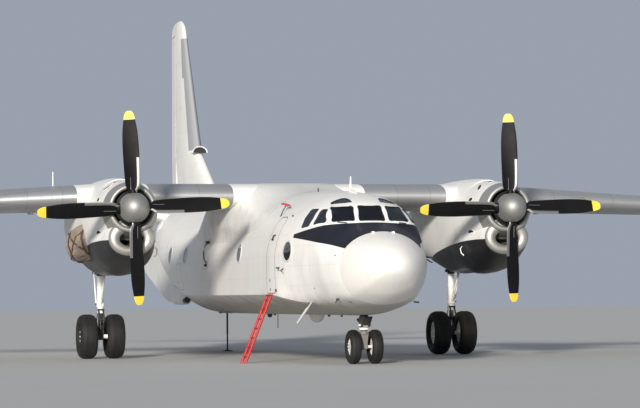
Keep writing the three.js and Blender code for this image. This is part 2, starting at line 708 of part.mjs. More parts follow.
// A bar along the pipe between two shares of its length.
function exhaustBar(radius, start = 0, end = 1) {
  const place = (t) => EXHAUST.from.map((v, i) => v + (EXHAUST.to[i] - v) * t);
  return bar(place(start), place(end), radius, radius, 16);
}
const EXHAUST_REACH = 600;
const nacelleBody = (grow) =>
  join(
    nacelleLoft(NACELLE, grow),
    exhaustBar(EXHAUST.radius + grow, 0, 1 + grow / EXHAUST_REACH),
  );
const shiftX = (solid, x) => solid.translate([x, 0, 0]);
const wingInNacelle = shiftX(join(outerWing(FIT), centreWing(FIT)), -ENGINE_X);
const MAIN_LEG = 70;
const mainLegSocket = bar(
  [0, at(MAIN_GEAR_STATION), 1500],
  [0, at(MAIN_GEAR_STATION), 2400],
  MAIN_LEG + FIT,
);
const nacelleFront = box(-2000, 2000, at(5000), at(7200) + FIT, 0, 5000);
const WHEEL_BAY = [10350, 12600];
const wheelBay = nacelleLoft(NACELLE, -70).intersect(
  box(-900, 900, at(WHEEL_BAY[0]), at(WHEEL_BAY[1]), 0, 5000),
);
const portNacelle = cut(
  nacelleBody(0),
  wheelBay,
  nacelleFront,
  wingInNacelle,
  mainLegSocket,
  axisBar(ENGINE_Z, 7100, 7790, 350),
  exhaustBar(EXHAUST.mouth, 0.29, 1.12),
);
// The starboard nacelle also holds a small jet engine, whose pipe opens at the tail.
const starboardNacelle = cut(
  join(portNacelle, axisBar(3010, 12500, 13250, 190, 16)),
  axisBar(3010, 12900, 13300, 160, 16),
);
const cowl = cut(
  join(nacelleLoft(COWL), nacelleLoft(COOLER)),
  axisBar(ENGINE_Z, 5600, 7300, 400),
  axisBar(0, 5700, 6450, COOLER_BORE.high)
    .scale([COOLER_BORE.wide / COOLER_BORE.high, 1, 1])
    .translate([0, 0, COOLER_BORE.z]),
);
const engine = join(axisBar(ENGINE_Z, 6050, 7780, 335, 16), axisBar(ENGINE_Z, 5705, 6060, 150, 16));
// The engine stands on two feet on the floor of the cowl's bore.
const engineFeet = [6300, 7000].map((s) =>
  box(-60, 60, at(s), at(s + 100), ENGINE_Z - 389, ENGINE_Z - 300),
);

// Canvas cover laced over the mouth of the exhaust. Columns: way out along the pipe, radius.
const COVER = [[-150, 270], [60, 335], [330, 350], [560, 300], [640, 150]];
function exhaustCover() {
  const along = new THREE.Vector3(...EXHAUST.to).sub(new THREE.Vector3(...EXHAUST.from)).normalize();
  const across = new THREE.Vector3().crossVectors(along, Z).normalize();
  const upward = new THREE.Vector3().crossVectors(across, along);
  const rings = COVER.map(([out, radius]) =>
    Array.from({ length: 12 }, (_, i) => {
      const a = (i * Math.PI) / 6;
      return new THREE.Vector3(...EXHAUST.from)
        .addScaledVector(along, out + 60)
        .addScaledVector(across, radius * Math.cos(a))
        .addScaledVector(upward, radius * 1.1 * Math.sin(a));
    }),
  );
  return cut(loft(rings), nacelleBody(FIT))
    .decompose()
    .sort((a, b) => b.volume() - a.volume())[0];
}

// Main gear leg, with its drag brace and torque link, on the nacelle's centreline.
const gearY = at(MAIN_GEAR_STATION);
const AXLE_Z = MAIN_TYRE.radius;
const mainLeg = join(
  bar([0, gearY, 980], [0, gearY, 2399.6], MAIN_LEG),
  bar([0, gearY, AXLE_Z], [0, gearY, 1000], 52, 52, 10),
  bar([0, gearY, 1120], [0, gearY, 1220], 88),
  box(-45, 45, gearY - 75, gearY + 75, AXLE_Z - 75, AXLE_Z + 75),
  bar([0, gearY - 70, 1180], [0, gearY - 600, 1785], 28, 28, 6),
  bar([0, gearY - 60, 1060], [0, gearY - 210, 840], 24, 24, 6),
  bar([0, gearY - 210, 840], [0, gearY - 40, 640], 24, 24, 6),
  bar([95, gearY, 1190], [150, gearY - 60, 1870], 18, 18, 6),
  box(50, 115, gearY - 20, gearY + 20, 1160, 1210),
);

// A tyre's section, turned about the axle: round shoulders and a nearly flat tread.
// Columns: share of the way from rim to tread, share of the half width.
const TYRE_SIDE = [[0, 0.62], [0.4, 1], [0.74, 0.9], [0.94, 0.56], [1, 0.22]];
const WHEEL_SIDES = 16;
// A lathe turns about Y; a wheel turns about X.
function turned(profile) {
  const points = profile.map(([r, x]) => new THREE.Vector2(r, x));
  return solidOf(new THREE.LatheGeometry(points, WHEEL_SIDES).rotateZ(-Math.PI / 2));
}
function tyre({ radius, width, rim }) {
  const side = TYRE_SIDE.map(([r, x]) => [rim + (radius - rim) * r, (width / 2) * x]);
  const profile = [...side.map(([r, x]) => [r, -x]), ...side.reverse()];
  return turned([...profile, profile[0]]);
}

// The pair of wheels and the axle between them. Columns: share of the rim's radius, share of the
// tyre's width out from its middle.
const WHEEL_SIDE = [[0, 0.46], [0.26, 0.46], [0.3, 0.14], [0.84, 0.3], [1, 0.3]];
function wheelPair({ rim, width, apart }, axle) {
  const side = WHEEL_SIDE.map(([r, x]) => [(rim - FIT) * r, apart / 2 + width * x]);
  side.push([rim - FIT, apart / 2 - width * 0.3], [axle, apart / 2 - width * 0.3]);
  return turned([...side.map(([r, x]) => [r, -x]), ...side.reverse()]);
}

const MAIN_AXLE = 45;
const NOSE_AXLE = 28;
const mainWheels = wheelPair(MAIN_TYRE, MAIN_AXLE);
const noseWheels = wheelPair(NOSE_TYRE, NOSE_AXLE);

for (const [side, sign] of SIDES) {
  const wing = sideGroup(sign);
  add(`outer_wing_${side}`, outerFixed.intersect(clearOfJoint), BARE_METAL, wing);
  add(`aileron_${side}`, outer.moving, BARE_METAL, wing);
  const outerFlap = outer.fixed.intersect(flapZone(...OUTER_FLAP, 0, flapLine));
  add(`outer_flap_${side}`, outerFlap, BARE_METAL, wing);
  add(`inner_flap_${side}`, centreWing().intersect(innerFlapZone(0)), BARE_METAL, wing);
  add(`tailplane_${side}`, cut(tail.fixed, fuselage(15000, LENGTH, FIT)), WHITE, wing);
  add(`elevator_${side}`, tail.moving, WHITE, wing);
  add(`ventral_strake_${side}`, strakePart, WHITE, wing);

  const nacelle = new THREE.Group();
  nacelle.position.x = ENGINE_X;
  wing.add(nacelle);
  add(`nacelle_${side}`, sign > 0 ? portNacelle : starboardNacelle, WHITE, nacelle);
  add(`cowl_${side}`, cowl, WHITE, nacelle);
  add(`engine_${side}`, join(engine, ...engineFeet), GEAR_STEEL, nacelle);
  add(`exhaust_cover_${side}`, exhaustCover(), CANVAS, nacelle);
  add(`main_leg_${side}`, cut(mainLeg, axleBore(MAIN_AXLE, 0, gearY, AXLE_Z)), GEAR_STEEL, nacelle);
  const axle = new THREE.Group();
  axle.position.set(0, gearY, AXLE_Z);
  nacelle.add(axle);
  add(`main_wheels_${side}`, mainWheels, WHEEL_METAL, axle);
  for (const [place, x] of [["inner", -1], ["outer", 1]]) {
    const mesh = add(`main_tyre_${side}_${place}`, tyre(MAIN_TYRE), RUBBER, axle);
    mesh.position.x = (x * MAIN_TYRE.apart) / 2;
  }
}

// The bore clears the corners of the axle as it turns.
function axleBore(radius, x, y, z) {
  const bore = radius / Math.cos(Math.PI / WHEEL_SIDES) + 0.1;
  return bar([x - 300, y, z], [x + 300, y, z], bore, bore, WHEEL_SIDES);
}

// Propellers: both turn the same way, so the starboard one is a copy and not a mirror image.
// Columns: radius, chord, pitch from the plane of the disc in degrees, thickness as a share of chord.
const BLADE = [
  [250, 180, 52, 0.6],
  [330, 195, 47, 0.5],
  [430, 335, 40, 0.24],
  [760, 350, 34, 0.15],
  [1150, 345, 27, 0.1],
  [1500, 315, 23, 0.075],
  [1740, 250, 21, 0.065],
  [1880, 190, 20, 0.06],
  [PROP_RADIUS, 95, 20, 0.06],
];
const BLADE_SECTION = [
  [-0.5, 0], [-0.36, 0.36], [0, 0.5], [0.5, 0.05], [0.5, -0.05], [0, -0.4], [-0.36, -0.3],
];
function blade(angle) {
  const turn = new THREE.Matrix4().makeRotationY(angle);
  return loft(
    BLADE.map(([radius, chord, pitch, thick]) => {
      const c = Math.cos(degrees(pitch));
      const s = Math.sin(degrees(pitch));
      // The leading edge is at -u, towards +X and forwards; the upright blade reaches along +Z.
      return BLADE_SECTION.map(([u, v]) => {
        const a = -u * chord;
        const b = v * chord * thick;
        return new THREE.Vector3(a * c - b * s, -a * s - b * c, radius).applyMatrix4(turn);
      });
    }),
  );
}
const SPINNER_RADIUS = 310;
const spinnerArc = new THREE.EllipseCurve(0, 0, SPINNER_RADIUS, 400, 0, Math.PI / 2);
const SPINNER_BACK = -60;
const spinnerProfile = [
  new THREE.Vector2(0, SPINNER_BACK),
  new THREE.Vector2(SPINNER_RADIUS, SPINNER_BACK),
  ...spinnerArc.getPoints(5),
];
spinnerProfile[spinnerProfile.length - 1].x = 0;
// The lathe turns about Y with the tip towards +Y; the spinner points forwards.
const spinner = solidOf(new THREE.LatheGeometry(spinnerProfile, 18).rotateZ(Math.PI));
// Angle of the first blade from upright, seen from the front, as the propellers stopped.
for (const [side, sign, stopped] of [["port", 1, -1.3], ["starboard", -1, -2.9]]) {
  const group = new THREE.Group();
  group.position.set(sign * ENGINE_X, at(PROP_STATION), ENGINE_Z);
  group.rotation.y = degrees(stopped);
  root.add(group);
  const hubCore = join(
    bar([0, 60 + FIT, 0], [0, 120, 0], 362, 362, 18),
    bar([0, 110, 0], [0, 154.4, 0], 140),
  );
  const blades = [0, 1, 2, 3].map((i) => blade((i * Math.PI) / 2));
  const ferrules = [0, 1, 2, 3].map((i) => {
    const a = (i * Math.PI) / 2;
    return bar([0, 0, 0], [Math.sin(a) * 360, 0, Math.cos(a) * 360], 105, 90, 10);
  });
  add(`spinner_${side}`, cut(spinner, ...slotCutters()), BARE_METAL, group);
  const hubNose = bar([0, -30, 0], [0, 70, 0], 150);
  add(`propeller_${side}`, join(hubCore, hubNose, ...ferrules, ...blades), BLACK, group);
}

// The spinner is cut well clear of the blades' roots and of the hub.
function slotCutters() {
  const round = [0, 1, 2, 3].map((i) => {
    const a = (i * Math.PI) / 2;
    return bar([0, 0, 0], [Math.sin(a) * 360, 0, Math.cos(a) * 360], 125, 125, 10);
  });
  return [...round, bar([0, -40, 0], [0, 80, 0], 175)];
}

// Nose gear: a fixed leg in a housing that leans forwards, and a steered lower leg with the axle.
const noseY = at(NOSE_GEAR_STATION);
const NOSE_AXLE_Z = NOSE_TYRE.radius;
const STEER_TOP = 640;
const NOSE_HOUSING = [[-360, 915], [60, 915], [70, 705], [-90, 705]];
add(
  "nose_leg",
  join(
    bar([0, noseY, STEER_TOP + FIT], [0, noseY, 1059.5], 80),
    bar([0, noseY, 700], [0, noseY, 760], 100),
    prismX(NOSE_HOUSING.map(([y, z]) => [noseY + y, z]), -88, 88),
    bar([-125, noseY - 60, 745], [125, noseY - 60, 745], 24, 24, 6),
    bar([0, noseY + 60, 730], [0, noseY + 480, 850], 26, 26, 6),
  ),
  GEAR_STEEL,
);
const noseFork = cut(
  join(
    bar([0, noseY, NOSE_AXLE_Z - 20], [0, noseY, STEER_TOP], 56),
    box(-50, 50, noseY - 55, noseY + 55, NOSE_AXLE_Z - 55, NOSE_AXLE_Z + 55),
    bar([0, noseY, 570], [0, noseY, 620], 92),
    bar([0, noseY + 70, 600], [0, noseY + 190, 480], 16, 16, 6),
    bar([0, noseY + 190, 480], [0, noseY + 40, 370], 16, 16, 6),
  ),
  axleBore(NOSE_AXLE, 0, noseY, NOSE_AXLE_Z),
);
add("nose_fork", noseFork, GEAR_STEEL);
const noseAxle = new THREE.Group();
noseAxle.position.set(0, noseY, NOSE_AXLE_Z);
root.add(noseAxle);
add("nose_wheels", noseWheels, WHEEL_METAL, noseAxle);
for (const [side, sign] of SIDES)
  add(`nose_tyre_${side}`, tyre(NOSE_TYRE), RUBBER, noseAxle).position.x = (sign * NOSE_TYRE.apart) / 2;

// The boarding ladder hooks over the door sill and stands on the ground.
const LADDER = { top: [-1468, 1345], foot: [-1985, 30], station: 4265, half: 190, rungs: 7 };
const rail = (y) =>
  bar([LADDER.top[0], y, LADDER.top[1]], [LADDER.foot[0], y, LADDER.foot[1]], 26, 26, 6);
const ladderY = at(LADDER.station);
const rungs = [];
for (let i = 0; i < LADDER.rungs; i++) {
  const t = (i + 0.5) / LADDER.rungs;
  const x = LADDER.top[0] + (LADDER.foot[0] - LADDER.top[0]) * t;
  const z = LADDER.top[1] + (LADDER.foot[1] - LADDER.top[1]) * t;
  rungs.push(bar([x, ladderY - LADDER.half, z], [x, ladderY + LADDER.half, z], 16, 16, 6));
}
add(
  "boarding_ladder",
  cut(
    join(
      rail(ladderY - LADDER.half),
      rail(ladderY + LADDER.half),
      ...rungs,
      ...[-1, 1].map((s) => box(LADDER.foot[0] - 45, LADDER.foot[0] + 45, ladderY + s * LADDER.half - 40,
        ladderY + s * LADDER.half + 40, 1, 40)),
      box(-1500, -1400, ladderY - 300, ladderY + 230, 1318, 1358),
    ),
    fuselage(3000, 6000, FIT),
  ),
  RED,
);

// Safety stay under the tail, ahead of the ramp: a rod with a round foot, just clear of the ground.
add(
  "tail_stay",
  join(
    bar([0, at(STAY_STATION), 25], [0, at(STAY_STATION), STAY_TOP], STAY_RADIUS),
    bar([0, at(STAY_STATION), 15], [0, at(STAY_STATION), 35], 130, 130, 16),
  ),
  BLACK,
);

export default root;
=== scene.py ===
import math

import bmesh
import bpy
import numpy as np
from mathutils import Matrix, Vector
from mathutils.bvhtree import BVHTree


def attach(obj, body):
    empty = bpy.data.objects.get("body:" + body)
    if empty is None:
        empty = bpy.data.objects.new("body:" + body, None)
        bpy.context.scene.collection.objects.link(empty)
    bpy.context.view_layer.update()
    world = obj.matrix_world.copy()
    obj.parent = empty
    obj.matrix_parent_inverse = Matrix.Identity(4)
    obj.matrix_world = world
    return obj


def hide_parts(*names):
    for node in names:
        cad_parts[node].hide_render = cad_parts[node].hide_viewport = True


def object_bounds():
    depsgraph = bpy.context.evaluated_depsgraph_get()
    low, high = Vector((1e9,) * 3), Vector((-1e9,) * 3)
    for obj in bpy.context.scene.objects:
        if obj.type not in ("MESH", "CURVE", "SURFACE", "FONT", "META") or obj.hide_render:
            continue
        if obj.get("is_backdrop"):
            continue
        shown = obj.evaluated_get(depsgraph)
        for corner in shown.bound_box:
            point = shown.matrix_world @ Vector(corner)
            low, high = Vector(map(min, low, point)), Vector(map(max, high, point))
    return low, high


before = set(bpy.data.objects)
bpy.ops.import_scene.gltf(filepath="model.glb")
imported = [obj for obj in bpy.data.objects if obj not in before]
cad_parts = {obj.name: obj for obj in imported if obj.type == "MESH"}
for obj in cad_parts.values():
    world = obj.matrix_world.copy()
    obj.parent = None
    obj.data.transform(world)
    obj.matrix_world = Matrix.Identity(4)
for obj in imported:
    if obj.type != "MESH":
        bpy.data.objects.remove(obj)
cad_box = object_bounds()

# Where it stands.
# The aircraft is parked on its wheels, seen from ahead of its starboard wing, from about fifty
# metres away and at a standing person's eye height, in low soft light from the viewer's left.
LENGTH = 23.8
EYE = Vector((-12.8216, -60.1187, 1.277))
YAW = 0.232
PITCH = 0.0346
ROLL = -0.0081
LENS = 152.55
CLIP_END = 2000
FLOOR_HALF = 260.0
FLOOR_COLOUR = (0.52, 0.515, 0.5, 1)
SKY_COLOUR = (0.50, 0.56, 0.66, 1)
SUN_TRAVEL = Vector((0.42, 0.87, -0.265))
SUN_STRENGTH = 4.6
SUN_WIDTH = math.radians(7)
SUN_COLOUR = (1.0, 0.95, 0.87)
SKY_LIGHT = 0.54
SKY_SEEN = 0.10


def at(station):
    """The Y of a station, in metres aft of the tip of the nose."""
    return station - LENGTH / 2


def node(kind, sockets, tree=None, **settings):
    """A shader node with its settings, and with values or links in its sockets."""
    values = sockets.values()
    tree = tree or next(v.id_data for v in values if isinstance(v, bpy.types.NodeSocket))
    made = tree.nodes.new("ShaderNode" + kind)
    for key, value in settings.items():
        setattr(made, key, value)
    fill(made, sockets)
    return made


def fill(made, sockets):
    """Puts values or links in a node's sockets."""
    for key, value in sockets.items():
        if isinstance(value, bpy.types.NodeSocket):
            made.id_data.links.new(value, made.inputs[key])
        else:
            made.inputs[key].default_value = value


def maths(operation, *values, clamp=False):
    """The result of one step of arithmetic on numbers and sockets."""
    return node("Math", dict(enumerate(values)), operation=operation, use_clamp=clamp).outputs[0]


def plus(a, b, clamp=False):
    return maths("ADD", a, b, clamp=clamp)


def minus(a, b):
    return maths("SUBTRACT", a, b)


def times(a, b, clamp=False):
    return maths("MULTIPLY", a, b, clamp=clamp)


def blend(share, a, b):
    """Colour a turning into colour b where share is 1."""
    return node("Mix", {0: share, 6: a, 7: b}, data_type="RGBA").outputs[2]


def ramp(value, low, high):
    """0 below low, 1 above high, and smooth between."""
    sockets = {"Value": value, "From Min": low, "From Max": high}
    return node("MapRange", sockets, interpolation_type="SMOOTHSTEP").outputs["Result"]


def noise(place, scale, detail=3.0, roughness=0.55):
    """Soft cloudy noise from 0 to 1."""
    sockets = {"Vector": place, "Scale": scale, "Detail": detail, "Roughness": roughness}
    return node("TexNoise", sockets).outputs["Fac"]


def axes_of(place):
    """The X, Y and Z of a place in a shader."""
    return node("SeparateXYZ", {0: place}).outputs


def new_material(name):
    """An empty material: itself, its shader and the object's own coordinates."""
    made = bpy.data.materials.new(name)
    made.use_nodes = True
    tree = made.node_tree
    return made, tree.nodes["Principled BSDF"], node("TexCoord", {}, tree).outputs["Object"]


def wire(shader, colour, roughness, bump=None, **more):
    """Fills a shader's sockets. bump holds the height, its strength and its distance."""
    fill(shader, {"Base Color": colour, "Roughness": roughness})
    fill(shader, {key.replace("_", " "): value for key, value in more.items()})
    if bump:
        raised = node("Bump", dict(zip(("Height", "Strength", "Distance"), bump)))
        fill(shader, {"Normal": raised.outputs["Normal"]})


def mottled(name, first, second, scale, detail, rough, spread=None, grain=0.55, **more):
    """A finish that clouds from one tone to another; rough is its least value and its range."""
    made, shader, place = new_material(name)
    cloud = noise(place, scale, detail, grain)
    share = ramp(cloud, *spread) if spread else cloud
    wire(shader, blend(share, first, second), plus(times(cloud, rough[1]), rough[0]), **more)
    return made


def new_group(name, inputs, outputs):
    """A shader node group with named sockets: itself, its inputs and its output node."""
    tree = bpy.data.node_groups.new(name, "ShaderNodeTree")
    for label, kind, value in inputs:
        socket = tree.interface.new_socket(label, in_out="INPUT", socket_type="NodeSocket" + kind)
        if value is not None:
            socket.default_value = value
    for label, kind in outputs:
        tree.interface.new_socket(label, in_out="OUTPUT", socket_type="NodeSocket" + kind)
    return tree, tree.nodes.new("NodeGroupInput").outputs, tree.nodes.new("NodeGroupOutput")


def use_group(group, sockets):
    """A group placed in a material with its own values."""
    made = node("Group", {}, sockets["Place"].id_data)
    made.node_tree = group
    fill(made, sockets)
    return made.outputs


scene = bpy.context.scene
aim = Vector((math.sin(YAW) * math.cos(PITCH), math.cos(YAW) * math.cos(PITCH), math.sin(PITCH)))
level = Vector((math.cos(YAW), -math.sin(YAW), 0))
over = level.cross(aim)
camera = bpy.data.objects.new("camera", bpy.data.cameras.new("camera"))
scene.collection.objects.link(camera)
camera.data.lens = LENS
camera.data.clip_end = CLIP_END
camera_axes = (
    math.cos(ROLL) * level + math.sin(ROLL) * over,
    math.cos(ROLL) * over - math.sin(ROLL) * level,
    -aim,
)
camera.matrix_world = Matrix.Translation(EYE) @ Matrix(camera_axes).transposed().to_4x4()
scene.camera = camera
scene.view_settings.view_transform = "Standard"

sun = bpy.data.objects.new("sun", bpy.data.lights.new("sun", "SUN"))
scene.collection.objects.link(sun)
sun.data.energy = SUN_STRENGTH
sun.data.angle = SUN_WIDTH
sun.data.color = SUN_COLOUR
sun.rotation_euler = SUN_TRAVEL.to_track_quat("-Z", "Y").to_euler()

world = bpy.data.worlds.new("soft sky")
world.use_nodes = True
background = world.node_tree.nodes["Background"]
fill(background, {"Color": SKY_COLOUR})
seen = node("LightPath", {}, world.node_tree).outputs["Is Camera Ray"]
fill(background, {"Strength": plus(SKY_LIGHT, times(seen, SKY_SEEN))})
scene.world = world

floor_mesh = bpy.data.meshes.new("floor")
floor_corners = [(-1, -1), (1, -1), (1, 1), (-1, 1)]
floor_mesh.from_pydata([(x * FLOOR_HALF, y * FLOOR_HALF, 0) for x, y in floor_corners], [], [(0, 1, 2, 3)])
floor = bpy.data.objects.new("floor", floor_mesh)
scene.collection.objects.link(floor)
darker = tuple(c * 0.93 for c in FLOOR_COLOUR[:3]) + (1,)
floor_mesh.materials.append(mottled("pale_floor", FLOOR_COLOUR, darker, 0.35, 5.0, (0.85, 0.0)))
floor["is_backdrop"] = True

# Fuselage skin.
# Sheet aluminium on frames and stringers, flush riveted, painted white all over. It is a round
# pressure hull above a flat chined belly, and it sweeps up behind the hold to a narrow tail.
# Columns: station, half width, height of the widest point, top, half width and height of the
# chine, lowest point of the belly, and power of the roof's curve (2 is an ellipse).
HULL = [
    (0.00, 0.03, 1.840, 1.868, 0.025, 1.827, 1.815, 2),
    (0.08, 0.27, 1.850, 2.060, 0.205, 1.700, 1.650, 2),
    (0.25, 0.45, 1.850, 2.210, 0.335, 1.580, 1.490, 2),
    (0.55, 0.65, 1.860, 2.370, 0.485, 1.430, 1.290, 2),
    (1.05, 0.88, 1.880, 2.540, 0.650, 1.290, 1.115, 2),
    (1.45, 0.99, 1.900, 2.640, 0.740, 1.240, 1.035, 2),
    (1.68, 1.045, 1.920, 2.715, 0.770, 1.210, 0.990, 2.1),
    (1.98, 1.09, 1.950, 3.030, 0.815, 1.195, 0.955, 2.3),
    (2.20, 1.125, 1.975, 3.125, 0.860, 1.190, 0.942, 2.4),
    (2.45, 1.175, 2.000, 3.200, 0.925, 1.188, 0.935, 2.4),
    (2.90, 1.265, 2.025, 3.290, 1.050, 1.195, 0.930, 2.3),
    (3.30, 1.345, 2.025, 3.340, 1.190, 1.232, 0.930, 2.15),
    (3.90, 1.425, 2.015, 3.385, 1.400, 1.320, 0.930, 2.05),
    (4.40, 1.45, 2.005, 3.412, 1.435, 1.350, 0.930, 2),
    (5.20, 1.45, 2.000, 3.440, 1.440, 1.350, 0.930, 2),
    (6.00, 1.45, 2.000, 3.450, 1.440, 1.350, 0.930, 2),
    (12.50, 1.45, 2.000, 3.450, 1.440, 1.350, 0.930, 2),
    (14.50, 1.445, 2.060, 3.475, 1.290, 1.375, 0.935, 2),
    (16.00, 1.42, 2.170, 3.520, 1.170, 1.480, 0.950, 2),
    (17.50, 1.34, 2.380, 3.570, 1.110, 1.840, 1.440, 2),
    (19.00, 1.18, 2.650, 3.600, 0.990, 2.250, 1.930, 2),
    (20.50, 0.92, 2.950, 3.600, 0.780, 2.640, 2.420, 2),
    (21.30, 0.76, 3.060, 3.595, 0.640, 2.820, 2.670, 2),
    (22.30, 0.50, 3.180, 3.560, 0.410, 3.000, 2.900, 2),
    (23.20, 0.27, 3.260, 3.480, 0.220, 3.140, 3.080, 2),
    (23.80, 0.07, 3.300, 3.360, 0.055, 3.270, 3.250, 2),
]
COCKPIT_START = 0.96
CABIN_START = 3.3
RAMP_START = 16.0
TAIL_START = 21.3
FLOOR_Z = 1.45
SKIN = 0.07
COCKPIT_SKIN = 0.045
JOINT_GAP = 0.004
RING_STEP = 0.12
ROOF_STEPS = 56
FLANK_STEPS = 8
BELLY_STEPS = 16


def smooth_rows(rows, stations, bend=1.0):
    """The columns of a table at each station, on smooth curves that never overshoot a row."""
    rows = np.array(rows, float)
    along = rows[:, 0] ** bend
    where = np.asarray(stations, float) ** bend
    values = rows[:, 1:]
    step = np.diff(along)[:, None]
    slope = np.diff(values, axis=0) / step
    tangent = np.vstack([slope[:1], slope[:-1], slope[-1:]])
    if len(rows) > 2:
        before, after = slope[:-1], slope[1:]
        weight_a = 2 * step[1:] + step[:-1]
        weight_b = step[1:] + 2 * step[:-1]
        same = before * after > 0
        whole = weight_a / np.where(same, before, 1) + weight_b / np.where(same, after, 1)
        tangent = np.vstack([slope[:1], np.where(same, (weight_a + weight_b) / whole, 0), slope[-1:]])
    i = np.clip(np.searchsorted(along, where) - 1, 0, len(along) - 2)
    t = ((where - along[i]) / step[i, 0])[:, None]
    near = (1 + 2 * t) * (1 - t) ** 2 * values[i] + t * (1 - t) ** 2 * step[i] * tangent[i]
    far = t * t * (3 - 2 * t) * values[i + 1] + t * t * (t - 1) * step[i] * tangent[i + 1]
    return near + far


def hull_rings(stations, grow=0.0):
    """Rings of points round the hull, from port over the roof to starboard and under the belly."""
    stations = np.asarray(stations, float)
    wide, mid, top, chine_x, chine_z, low, power = smooth_rows(HULL, stations, 0.5).T
    wide, top, low = wide + grow, top + grow, low - grow
    chine_x, chine_z = chine_x + 0.9 * grow, chine_z - 0.6 * grow
    deep = (mid - chine_z) / np.sqrt(1 - (chine_x / wide) ** 2)
    turn = np.arccos(chine_x / wide)
    columns = []
    for a in np.linspace(0, math.pi, ROOF_STEPS + 1):
        c, s = math.cos(a), abs(math.sin(a))
        x = wide * np.sign(c) * abs(c) ** (2 / power)
        columns.append((x, mid + (top - mid) * s ** (2 / power)))
    shares = np.linspace(0, 1, FLANK_STEPS + 1)[1:]
    flank = [(wide * np.cos(turn * k), mid - deep * np.sin(turn * k)) for k in shares]
    columns += [(-x, z) for x, z in flank]
    for k in np.linspace(-1, 1, BELLY_STEPS + 1)[1:-1]:
        columns.append((chine_x * k, low + (chine_z - low) * k * k))
    columns += flank[::-1]
    y = at(stations)
    return np.stack([np.stack([x, y, z], 1) for x, z in columns], 1)


def stations_between(start, end, step=RING_STEP):
    """Evenly spaced stations with both ends."""
    return np.linspace(start, end, max(2, int(round((end - start) / step)) + 1))


def make_piece(name, vertices, faces):
    """A mesh object whose faces all look outwards."""
    mesh = bpy.data.meshes.new(name)
    mesh.from_pydata([tuple(map(float, v)) for v in vertices], [], faces)
    edit = bmesh.new()
    edit.from_mesh(mesh)
    bmesh.ops.recalc_face_normals(edit, faces=edit.faces)
    edit.to_mesh(mesh)
    edit.free()
    piece = bpy.data.objects.new(name, mesh)
    scene.collection.objects.link(piece)
    return piece


def ring_faces(count, size, wrap=False, caps=True):
    """The faces of a skin over count rings of size points each."""
    faces = []
    for r in range(count if wrap else count - 1):
        a = r * size
        b = (r + 1) % count * size
        faces += [(a + i, a + (i + 1) % size, b + (i + 1) % size, b + i) for i in range(size)]
    if caps and not wrap:
        last = (count - 1) * size
        faces += [tuple(range(size))[::-1], tuple(range(last, last + size))]
    return faces


def loft(name, rings, wrap=False, caps=True):
    """A skin through rings of points, closed by a cap at each end or joined end to end."""
    rings = np.asarray(rings)
    count, size = rings.shape[:2]
    return make_piece(name, rings.reshape(-1, 3), ring_faces(count, size, wrap, caps))


def hull_shell(name, stations, thick):
    """The hull through these stations as a wall of the given thickness."""
    inner = hull_rings(stations, -thick)[::-1]
    return loft(name, np.concatenate([hull_rings(stations), inner]), wrap=True)


def prism(name, outline, axis, start, end):
    """An outline pushed along an axis: points are (y, z) for X, (x, z) for Y and (x, y) for Z."""
    order = {"X": (2, 0, 1), "Y": (0, 2, 1), "Z": (0, 1, 2)}[axis]
    ends = [[(a, b, depth) for a, b in outline] for depth in (start, end)]
    return loft(name, [[tuple(p[k] for k in order) for p in ring] for ring in ends])


def carve(piece, tool, how="DIFFERENCE"):
    """Cuts or keeps the tool's shape from a piece, and takes the tool away."""
    step = piece.modifiers.new("carve", "BOOLEAN")
    step.operation = how
    step.solver = "EXACT"
    step.object = tool
    graph = bpy.context.evaluated_depsgraph_get()
    shaped = bpy.data.meshes.new_from_object(piece.evaluated_get(graph))
    piece.modifiers.clear()
    piece.data = shaped
    bpy.data.objects.remove(tool)


def dress(piece, finish, body="airframe", stands_for=(), smooth=32.0):
    """Shades a piece, gives it its finish, and hangs it on the body that carries it."""
    mesh = piece.data
    mesh.shade_smooth()
    mesh.set_sharp_from_angle(angle=math.radians(smooth))
    if finish is not None:
        mesh.materials.clear()
        mesh.materials.append(finish)
    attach(piece, body)
    if stands_for:
        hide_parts(*stands_for)
    return piece


# Dust and weather: cloudy patches, and streaks that run down from the joints.
weathering, given, result = new_group(
    "weathering",
    [("Place", "Vector", None), ("Clean", "Color", (1, 1, 1, 1)), ("Grime", "Color", (0.2, 0.18, 0.15, 1)),
     ("Amount", "Float", 0.3), ("Patch", "Float", 1.2), ("Gloss", "Float", 0.4)],
    [("Color", "Color"), ("Roughness", "Float")],
)
patches = noise(given["Place"], given["Patch"], 6.0, 0.6)
stretched = node("VectorMath", {0: given["Place"], 1: (2.6, 2.6, 0.35)}, operation="MULTIPLY").outputs[0]
streaks = noise(stretched, 3.2, 4.0, 0.6)
fine = noise(given["Place"], 38.0, 2.0)
both = plus(ramp(patches, 0.45, 0.8), ramp(streaks, 0.52, 0.82))
both = plus(both, times(ramp(fine, 0.55, 0.8), 0.25))
dirt = times(both, given["Amount"], clamp=True)
fill(result, {"Color": blend(dirt, given["Clean"], given["Grime"]),
              "Roughness": plus(given["Gloss"], times(dirt, 0.35), clamp=True)})

